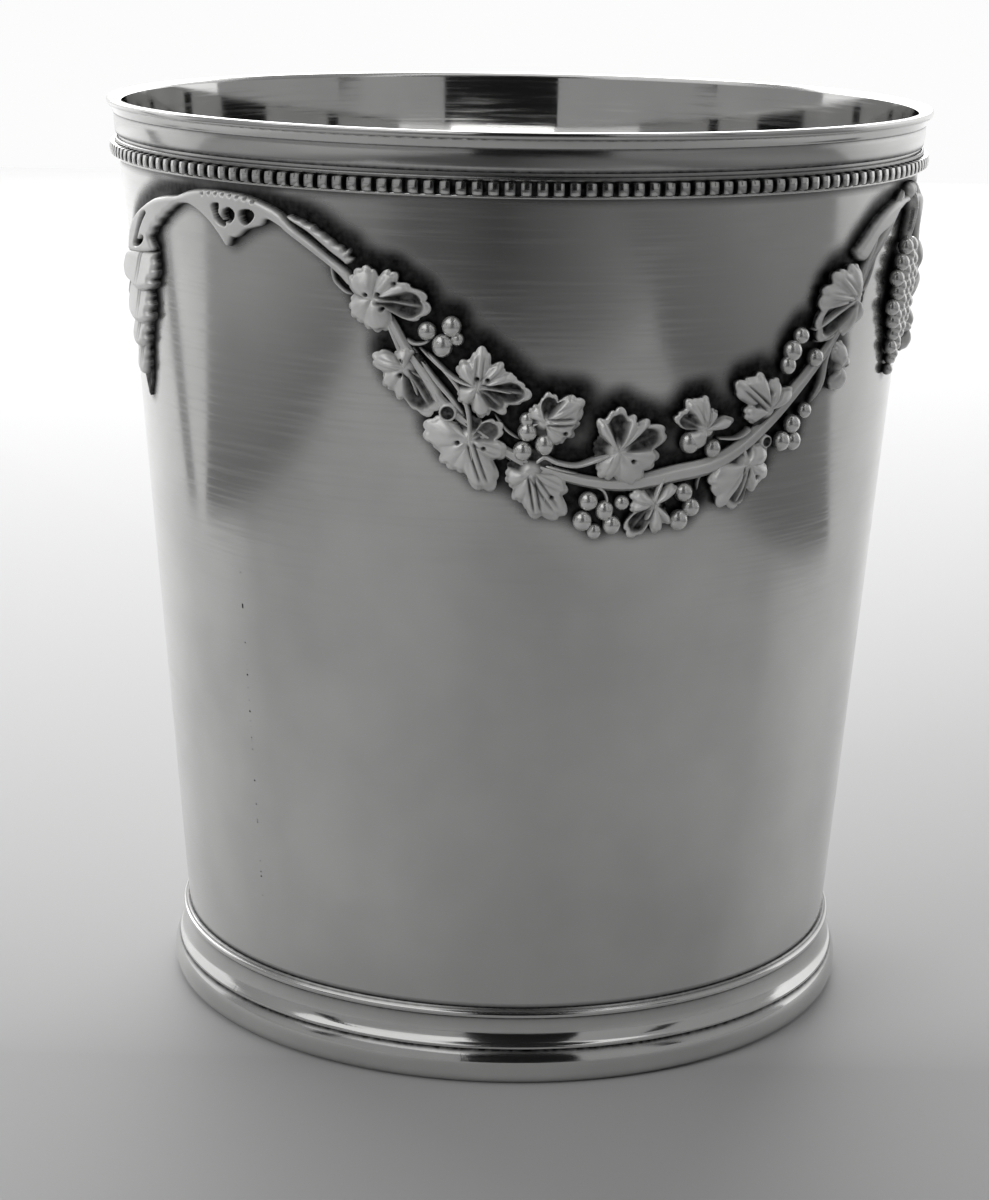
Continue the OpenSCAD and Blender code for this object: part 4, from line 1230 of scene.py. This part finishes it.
def wall_section():
    """Closed section of the wall: up the outside, over the top and down inside."""
    fine_low, fine_high = hang_z(GARLAND_END), WIRE_LOW_Z
    heights = list(np.arange(WALL_LOW_Z, FOOT_H - ROW_LEAST, ROW_BEHIND_FOOT))
    heights += list(np.linspace(FOOT_H, FOOT_H + OVER_FOOT, ROWS_OVER_FOOT))
    heights += list(np.arange(FOOT_H + 2 * OVER_FOOT, fine_low, ROW_BARE))
    heights += list(np.arange(fine_low, fine_high, ROW_FINE))
    heights += [fine_high, (fine_high + WALL_TOP_Z) / 2, WALL_TOP_Z]
    outer = [(body_radius(z), z, 0) for z in heights]
    inner_heights = np.linspace(WALL_TOP_Z, BASE_TOP_Z, ROWS_INSIDE)
    inner = [(body_radius(z) - WALL_T, z, 0) for z in inner_heights]
    foot = [(body_radius(WALL_LOW_Z) - WALL_T, WALL_LOW_Z, 0)]
    return outer + inner + foot


def base_section():
    """Section of the base plate, with painted shade where it meets the wall and underneath."""
    radius = body_radius(BASE_TOP_Z) - WALL_T
    low = body_radius(BASE_LOW_Z) - WALL_T
    top = [(share * radius, BASE_TOP_Z, 0.7 if share > BASE_UNSHADED else 0)
           for share in np.linspace(0, 1, BASE_RINGS)]
    return top + [(low, BASE_LOW_Z, 0.5), (0, BASE_LOW_Z, 0.5)]


def garland_points():
    """Tree of the points of the pieces that stand on the wall."""
    places = []
    for piece in bpy.context.scene.objects:
        if piece.get("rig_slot") == CHASED:
            places += [v.co for v in piece.data.vertices]
    tree = KDTree(len(places))
    for i, co in enumerate(places):
        tree.insert(co, i)
    tree.balance()
    return tree


def smoothed(bm, values, passes):
    """Evens out values near the garland over neighbouring vertices."""
    bm.verts.index_update()
    near = [(v.index, [e.other_vert(v).index for e in v.link_edges])
            for v in bm.verts if values[v.index] < 2 * sizes().halo]
    for _ in range(passes):
        even = values.copy()
        for i, others in near:
            even[i] = (values[i] + values[others].mean()) / 2
        values = even
    return values


# How far the painted shadow and reflection of the garland, with its tarnish, lie above it, and
# towards the front
SHADE_UP = 0.8 * MM
SHADE_SIDE = 0.3 * MM
# How often it is evened out, and how near the garland it is full
SHADE_PASSES = 6
SHADE_FULL = 0.3 * MM
# Distances from the wire and from the foot where it is full, and where it ends
WIRE_SHADE = (0.1 * MM, 0.7 * MM)
FOOT_SHADE = (0.05 * MM, 0.45 * MM)
# Height over the base plate where the painted shade inside ends
BASE_SHADE = 1.5 * MM


def darken_wall(bm):
    """Darkens the wall: the painted shadow and reflection of the garland with its tarnish, and
    painted shade under the wire and over the foot.
    """
    tree = garland_points()
    lowest = hang_z(GARLAND_END)
    z = np.array([v.co.z for v in bm.verts])
    reach = np.array([v.co.xy.length for v in bm.verts])
    away = np.ones(len(bm.verts))
    for i, v in enumerate(bm.verts):
        if v.co.z > lowest:
            # The painted shadow and reflection, with the tarnish, lie over the garland, and on its
            # side towards the front
            inwards = Vector((-v.co.y, v.co.x, 0)).normalized() * (-1 if v.co.x > 0 else 1)
            away[i] = tree.find(v.co - SHADE_UP * Vector((0, 0, 1)) - SHADE_SIDE * inwards)[2]
    away = smoothed(bm, away, SHADE_PASSES)
    # Painted shade under the wire and over the foot
    dark = 0.8 * (1 - ease(abs(z - WIRE_LOW_Z), *WIRE_SHADE))
    dark = np.maximum(dark, 0.8 * (1 - ease(abs(z - FOOT_H), *FOOT_SHADE)))
    dark = np.maximum(dark, 0.98 * (1 - ease(away, SHADE_FULL, sizes().halo)))
    inside = reach < body_radius(z) - WALL_T / 2
    # Inside, a painted shade darkens the wall towards the base plate
    set_darkness(bm, np.where(inside, 0.6 * (1 - ease(z - BASE_TOP_Z, 0, BASE_SHADE)), dark))


# Stage

CAMERA_DISTANCE = 282.37 * MM
CAMERA_HEIGHT = 112.09 * MM
CAMERA_AZIMUTH = math.radians(-69)
CAMERA_YAW = -0.0061
CAMERA_PITCH = 0.2517
CAMERA_ROLL = 0.0166
CAMERA_LENS = 82.52
SENSOR = 36
# Each light: its place to the right, back and up, its width and height, and whether
# the silver mirrors it. All have one power and aim at the foot of the cup.
LIGHTS = [
    ("window", (-0.12, 0.65, 0.42), (0.9, 0.5), True),
    ("ceiling", (-0.25, -0.35, 1.0), (1.6, 1.6), True),
    ("room", (-0.85, -0.75, 0.55), (0.5, 0.5), False)]
LIGHT_POWER = 4.4
AIM = (0, -0.02, 0)
# Roughness of paper and card
MATT = 0.6
FLOOR_RADIUS = 4.0
FLOOR_SIDES = 96
# Where the floor's glow starts and ends, its strength and its curve: a painted light that brightens
# the floor away from the cup and towards the back
FLOOR_GLOW = (0.15, 1.3, 0.85, 0.6)
FLOOR_GLOW_BACK = -0.03
# The white backdrop: left, right, low and high
BACKDROP = (-3, 3, 0, 1.2)
BACKDROP_BACK = 0.85
BACKDROP_GLOW = 0.95
# The dark table round the sheet of paper: left and right, front and back, then
# where its shade starts and ends to the right, and its two levels
TABLE_HEIGHT = 0.5 * MM
TABLE_GREY = (0.5, 0.5, 0.5)
TABLES = [
    ("table_left", (-0.9, -0.19), (-0.9, 0.04), (-0.19, -0.33, 0.2, 0.6)),
    ("table_right", (0.175, 0.9), (-0.9, 0.06), (0.175, 0.36, 0.24, 0.62)),
    ("table_front", (-0.19, 0.175), (-0.9, -0.24), (-0.02, 0.15, 0.12, 0.4))]
# The far edge of the table, to the left and behind: to the right and back
TABLE_LEDGE = [(-0.19, 0.055), (-0.75, 0.4), (-0.75, 0.52), (-0.19, 0.075)]
LEDGE_GREY = (0.2, 0.2, 0.2)
# Dark figures in the room, which the silver mirrors: left and right, back, low and high
FIGURE_TOP = 0.85
CLOTH_GREY = (0.02, 0.02, 0.02)
FIGURES = [
    ("figure_front", (-0.13, 0.27), -0.6, (0.0, FIGURE_TOP)),
    ("figure_left", (-0.75, -0.55), -0.35, (0.15, 0.6)),
    ("figure_right", (0.52, 0.68), -0.4, (0.15, 0.5))]
# The one that leans over the front lies flat: to the right and back
FIGURE_OVER = [(-0.19, -0.6), (0.33, -0.6), (0.33, -0.08), (-0.19, -0.08)]
# The world's light, and how bright it is where the camera sees it
WORLD_LIGHT = 0.3
WORLD_SEEN = 0.9


def make_camera():
    """The photograph's viewpoint."""
    lens = bpy.data.cameras.new("camera")
    lens.sensor_fit = "VERTICAL"
    lens.sensor_height = SENSOR
    lens.lens = CAMERA_LENS
    lens.clip_start = 10 * MM
    camera = bpy.data.objects.new("camera", lens)
    bpy.context.scene.collection.objects.link(camera)
    heading = CAMERA_YAW - CAMERA_AZIMUTH
    flat = math.cos(CAMERA_PITCH)
    ahead = Vector((math.sin(heading) * flat, math.cos(heading) * flat, -math.sin(CAMERA_PITCH)))
    right = Vector((math.cos(heading), -math.sin(heading), 0))
    up = right.cross(ahead)
    rolled_right = math.cos(CAMERA_ROLL) * right + math.sin(CAMERA_ROLL) * up
    rolled_up = math.cos(CAMERA_ROLL) * up - math.sin(CAMERA_ROLL) * right
    turn = Matrix((rolled_right, rolled_up, -ahead)).transposed().to_4x4()
    place = stage_point(0, -CAMERA_DISTANCE, CAMERA_HEIGHT)
    camera.matrix_world = Matrix.Translation(place) @ turn
    bpy.context.scene.camera = camera


def stage_point(right, back, z):
    """A place on the stage, as seen from the camera: to the right, back and up."""
    a = CAMERA_AZIMUTH
    x = right * math.cos(a) - back * math.sin(a)
    y = right * math.sin(a) + back * math.cos(a)
    return Vector((x, y, z))


def make_lights():
    """The area lights round the cup."""
    for name, spot, (width, height), mirrored in LIGHTS:
        lamp = bpy.data.lights.new(name, "AREA")
        lamp.shape = "RECTANGLE"
        lamp.size, lamp.size_y = width, height
        lamp.energy = LIGHT_POWER
        light = bpy.data.objects.new(name, lamp)
        bpy.context.scene.collection.objects.link(light)
        place = stage_point(*spot)
        light.location = place
        light.rotation_euler = (stage_point(*AIM) - place).to_track_quat("-Z", "Y").to_euler()
        light.visible_glossy = mirrored


def slope(tree, across, back, start, end, low, high, curve=1.0):
    """A level that runs over the floor from one distance to another, measured
    to the right or to the back as seen from the camera."""
    run = add(tree, "VectorMath", {"operation": "DOT_PRODUCT"})
    feed(tree, run.inputs[0], add(tree, "TexCoord").outputs["Object"])
    feed(tree, run.inputs[1], stage_point(across, back, 0))
    share = rescale(tree, run.outputs["Value"], start, end)
    return rescale(tree, calc(tree, "POWER", share, curve), 0.0, 1.0, low, high)


def round_slope(tree, start, end, high, curve):
    """A level that grows with the distance from the cup."""
    away = add(tree, "VectorMath", {"operation": "LENGTH"})
    feed(tree, away.inputs[0], add(tree, "TexCoord").outputs["Object"])
    share = rescale(tree, away.outputs["Value"], start, end)
    return calc(tree, "MULTIPLY", calc(tree, "POWER", share, curve), high)


def seen_glow(tree, to_camera, to_silver):
    """A glow that the camera and the silver see, and that lights nothing."""
    path = add(tree, "LightPath").outputs
    level = calc(tree, "MULTIPLY", path["Is Camera Ray"], to_camera)
    return calc(tree, "MULTIPLY_ADD", path["Is Glossy Ray"], to_silver, level)


def matt_material(name, colour, glow=0.0, shade=None, floor_glow=None, sheen=0.5):
    """Matt paper or card. Its colour can run over the floor as a painted shade, and its glow as a
    painted light.
    """
    material, tree = new_tree(name)
    tone = (*colour, 1)
    if shade is not None:
        level = slope(tree, *shade)
        level = add(tree, "CombineXYZ", X=level, Y=level, Z=level).outputs["Vector"]
        tone = mix(tree, 1.0, tone, level, "MULTIPLY")
    shader = add(tree, "BsdfPrincipled", Base_Color=tone, Roughness=MATT)
    shader.inputs["Specular IOR Level"].default_value = sheen
    shader.inputs["Emission Color"].default_value = (1, 1, 1, 1)
    if floor_glow is not None:
        start, end, high, curve = floor_glow
        behind = slope(tree, 0, 1, FLOOR_GLOW_BACK, end, 0.0, high, curve)
        # Painted light: the floor glows more away from the cup and towards the back, and the silver
        # sees only the part towards the back
        all_round = round_slope(tree, start, end, high, curve)
        level = seen_glow(tree, calc(tree, "MAXIMUM", all_round, behind), behind)
        feed(tree, shader.inputs["Emission Strength"], level)
    elif glow > 0:
        feed(tree, shader.inputs["Emission Strength"], seen_glow(tree, glow, glow))
    add(tree, "OutputMaterial", Surface=shader.outputs["BSDF"])
    return material


def make_floor():
    """The sheet of pale paper that the cup stands on."""
    bm = bmesh.new()
    bmesh.ops.create_circle(bm, cap_ends=True, segments=FLOOR_SIDES, radius=FLOOR_RADIUS)
    paper = matt_material("floor_paper", finish().floor, floor_glow=FLOOR_GLOW)
    add_object("floor", bm, paper)


def flat_card(name, corners, material):
    """A flat card on the stage, with its corners to the right, back and up."""
    bm = bmesh.new()
    bm.faces.new([bm.verts.new(stage_point(*corner)) for corner in corners])
    card = add_object(name, bm, material)
    return card


def reflected_card(name, corners, material):
    """A card that shows only in the silver: a painted reflection."""
    card = flat_card(name, corners, material)
    card.visible_camera = False
    card.visible_diffuse = False
    card.visible_shadow = False


def four_corners(left, right, low, high):
    """The corners of an upright or a flat rectangle, from its two spans."""
    return (left, low), (right, low), (right, high), (left, high)


def make_cards():
    """The white backdrop, the dark table round the paper, and the dark figures."""
    tall = [(r, BACKDROP_BACK, z) for r, z in four_corners(*BACKDROP)]
    flat_card("backdrop", tall, matt_material("backdrop_white", (0, 0, 0), BACKDROP_GLOW))
    for name, sideways, depth, levels in TABLES:
        corners = [(r, back, TABLE_HEIGHT) for r, back in four_corners(*sideways, *depth)]
        shaded = matt_material(name, TABLE_GREY, shade=(1, 0, *levels))
        reflected_card(name, corners, shaded)
    ledge = [(r, back, TABLE_HEIGHT) for r, back in TABLE_LEDGE]
    reflected_card("table_ledge", ledge, matt_material("table_ledge", LEDGE_GREY))
    dark = matt_material("dark_cloth", CLOTH_GREY, sheen=0.0)
    for name, sideways, back, upright in FIGURES:
        corners = [(r, back, z) for r, z in four_corners(*sideways, *upright)]
        reflected_card(name, corners, dark)
    reflected_card("figure_over", [(r, back, FIGURE_TOP) for r, back in FIGURE_OVER], dark)


def make_world():
    """A pale room, brighter where the camera looks into it."""
    world = bpy.data.worlds.new("studio")
    world.use_nodes = True
    bpy.context.scene.world = world
    ground = world.node_tree.nodes["Background"]
    ground.inputs["Color"].default_value = (1, 1, 1, 1)
    seen = add(world.node_tree, "LightPath").outputs["Is Camera Ray"]
    level = rescale(world.node_tree, seen, 0.0, 1.0, WORLD_LIGHT, WORLD_SEEN)
    feed(world.node_tree, ground.inputs["Strength"], level)


# Operators


class CUP_OT_leaves(bpy.types.Operator):
    """Add the vine leaves of both swags"""

    bl_idname = "cup.leaves"
    bl_label = "Vine leaves"

    def execute(self, context):
        for side, sign in SIDES.items():
            for number, (angle, share, lobes, drills) in LEAVES.items():
                node = f"{side}_leaf_{number}"
                bm = leaf_mesh(lobes, drills)
                wrap(bm, angle, share, sign)
                finish_carved(f"{node}_chased", node, bm)
        return {"FINISHED"}


class CUP_OT_berries(bpy.types.Operator):
    """Add the clusters of berries"""

    bl_idname = "cup.berries"
    bl_label = "Berries"

    def execute(self, context):
        for side, sign in SIDES.items():
            for cluster, berries in BERRIES.items():
                node = f"{side}_berries_{cluster}"
                bm = cluster_mesh(berries, sign)
                make_piece(f"{node}_round", bm, berry_silver(), CHASED, [node])
        return {"FINISHED"}


class CUP_OT_vines(bpy.types.Operator):
    """Add the branches with their stalks, tendrils and cut stubs"""

    bl_idname = "cup.vines"
    bl_label = "Vines"

    def execute(self, context):
        for side, sign in SIDES.items():
            bm = bmesh.new()
            layer = bm.verts.layers.float.new(DARKNESS)
            strand(bm, VINE, sign, sides=21, bark=0.24)
            for stalk in STALKS:
                strand(bm, stalk, sign, sides=10, steps=4)
            hollows = []
            for angle, share, across, rise in STUBS:
                hollows += stub(bm, angle, share, across, rise, sign)
            bmesh.ops.recalc_face_normals(bm, faces=bm.faces)
            garland_darkness(bm)
            # The hollow of each cut stub is fully dark: painted shade
            for v in hollows:
                v[layer] = 1
            make_piece(f"{side}_vine_branch", bm, chased_silver(), CHASED, [f"{side}_vine"])
        return {"FINISHED"}


class CUP_OT_arches(bpy.types.Operator):
    """Add the arches with their pierced knots, hooks and strips"""

    bl_idname = "cup.arches"
    bl_label = "Arches and strips"

    def execute(self, context):
        flat_rise = [share * sizes().vine_height for share in ARCH_RISE]
        front_rise = [share * sizes().vine_height for share in FRONT_RISE]
        for side, sign in SIDES.items():
            arch_plate = [(ARCH_OUTLINE, *flat_rise, 0)]
            arch = relief_mesh(sign, arch_plate, ARCH_OPENINGS, ARCH_PUNCHES)
            finish_carved(f"{side}_arch_pierced", f"{side}_arch", arch)
            strip = relief_mesh(sign, [(ARCH_STRIP, *flat_rise, 0)])
            strand(strip, ARCH_LOOP, sign, sides=10)
            finish_carved(f"{side}_strip_toothed", f"{side}_arch_strip", strip)
            front = relief_mesh(sign, [(FRONT_STRIP, *front_rise, 0)], bevel=FRONT_BEVEL)
            strand(front, FRONT_LOOP, sign, sides=10)
            finish_carved(f"{side}_strip_smooth", f"{side}_front_strip", front)
        return {"FINISHED"}


class CUP_OT_drops(bpy.types.Operator):
    """Add the drop of overlapping leaves beside each arch"""

    bl_idname = "cup.drops"
    bl_label = "Leaf drops"

    def execute(self, context):
        high = sizes().leaf_height
        for side, sign in SIDES.items():
            plates = [
                (leaf, DROP_TOP * foot * high, foot * high, DROP_RIB)
                for leaf, foot in zip(DROP_LEAVES, DROP_FEET)
            ]
            drop = relief_mesh(sign, plates, bevel=DROP_BEVEL)
            finish_carved(f"{side}_drop_leaves", f"{side}_tail_drop", drop)
        return {"FINISHED"}


class CUP_OT_front(bpy.types.Operator):
    """Add the roll and the bunch of grapes at the front"""

    bl_idname = "cup.front"
    bl_label = "Front knot and grapes"

    def execute(self, context):
        make_piece("front_roll", roll_mesh(), chased_silver(), CHASED, ["front_knot"])
        make_piece("grape_bunch", bunch_mesh(), berry_silver(), CHASED, ["grape_pendant"])
        return {"FINISHED"}


class CUP_OT_mouldings(bpy.types.Operator):
    """Add the lip, the foot and the beaded wire"""

    bl_idname = "cup.mouldings"
    bl_label = "Mouldings"

    def execute(self, context):
        material = moulded_silver()
        for name, section, node in (
            ("lip_rolled", lip_section(), "lip_moulding"),
            ("foot_band_turned", band_section(), "foot_band"),
            ("foot_ring_turned", ring_section(), "foot_ring"),
        ):
            make_piece(name, spun(section, SPIN_STEPS), material, MOULDED, [node], CRISP)
        wire = spun(wire_section(), SPIN_STEPS)
        beads = bead_ring(sizes().bead_count)
        mesh = bpy.data.meshes.new("beads")
        beads.to_mesh(mesh)
        beads.free()
        wire.from_mesh(mesh)
        bpy.data.meshes.remove(mesh)
        make_piece("wire_of_beads", wire, material, MOULDED, ["beaded_wire"], WIRE_CRISP)
        return {"FINISHED"}


class CUP_OT_body(bpy.types.Operator):
    """Add the polished wall and base, darkened round the garland by painted shade and tarnish"""

    bl_idname = "cup.body"
    bl_label = "Body"

    def execute(self, context):
        wall = spun(wall_section(), WALL_STEPS)
        darken_wall(wall)
        for face in wall.faces:
            middle = face.calc_center_median()
            if middle.xy.length < body_radius(middle.z) - WALL_T / 2:
                face.material_index = 1
        polished = polished_silver()
        piece = make_piece("wall_polished", wall, polished, POLISHED, ["body_wall"], CRISP)
        piece.data.materials.append(bright_silver())
        base = spun(base_section(), BASE_STEPS)
        make_piece("base_polished", base, polished, POLISHED, ["base_plate"], CRISP)
        return {"FINISHED"}


class CUP_OT_stage(bpy.types.Operator):
    """Add the floor, the lights and the camera"""

    bl_idname = "cup.stage"
    bl_label = "Stage"

    def execute(self, context):
        make_floor()
        make_cards()
        make_world()
        make_camera()
        make_lights()
        context.scene.view_settings.view_transform = "Standard"
        return {"FINISHED"}


class CUP_PT_panel(bpy.types.Panel):
    """Lists the steps that make the cup"""

    bl_idname = "CUP_PT_panel"
    bl_label = "Julep cup"
    bl_space_type = "VIEW_3D"
    bl_region_type = "UI"
    bl_category = "Julep cup"

    def draw(self, context):
        for operator in OPERATORS:
            self.layout.operator(operator.bl_idname)
        for group in (context.scene.cup_sizes, context.scene.cup_finish):
            for name in group.__annotations__:
                self.layout.prop(group, name)


OPERATORS = (
    CUP_OT_leaves,
    CUP_OT_berries,
    CUP_OT_vines,
    CUP_OT_arches,
    CUP_OT_drops,
    CUP_OT_front,
    CUP_OT_mouldings,
    CUP_OT_body,
    CUP_OT_stage,
)
CLASSES = (CupSizes, CupFinish, *OPERATORS, CUP_PT_panel)


def register():
    for cls in CLASSES:
        bpy.utils.register_class(cls)
    bpy.types.Scene.cup_sizes = PointerProperty(type=CupSizes)
    bpy.types.Scene.cup_finish = PointerProperty(type=CupFinish)


def unregister():
    del bpy.types.Scene.cup_finish
    del bpy.types.Scene.cup_sizes
    for cls in reversed(CLASSES):
        bpy.utils.unregister_class(cls)


def main():
    register()
    bpy.ops.cup.leaves()
    bpy.ops.cup.berries()
    bpy.ops.cup.vines()
    bpy.ops.cup.arches()
    bpy.ops.cup.drops()
    bpy.ops.cup.front()
    bpy.ops.cup.mouldings()
    bpy.ops.cup.body()
    bpy.ops.cup.stage()


if __name__ == "__main__":
    main()
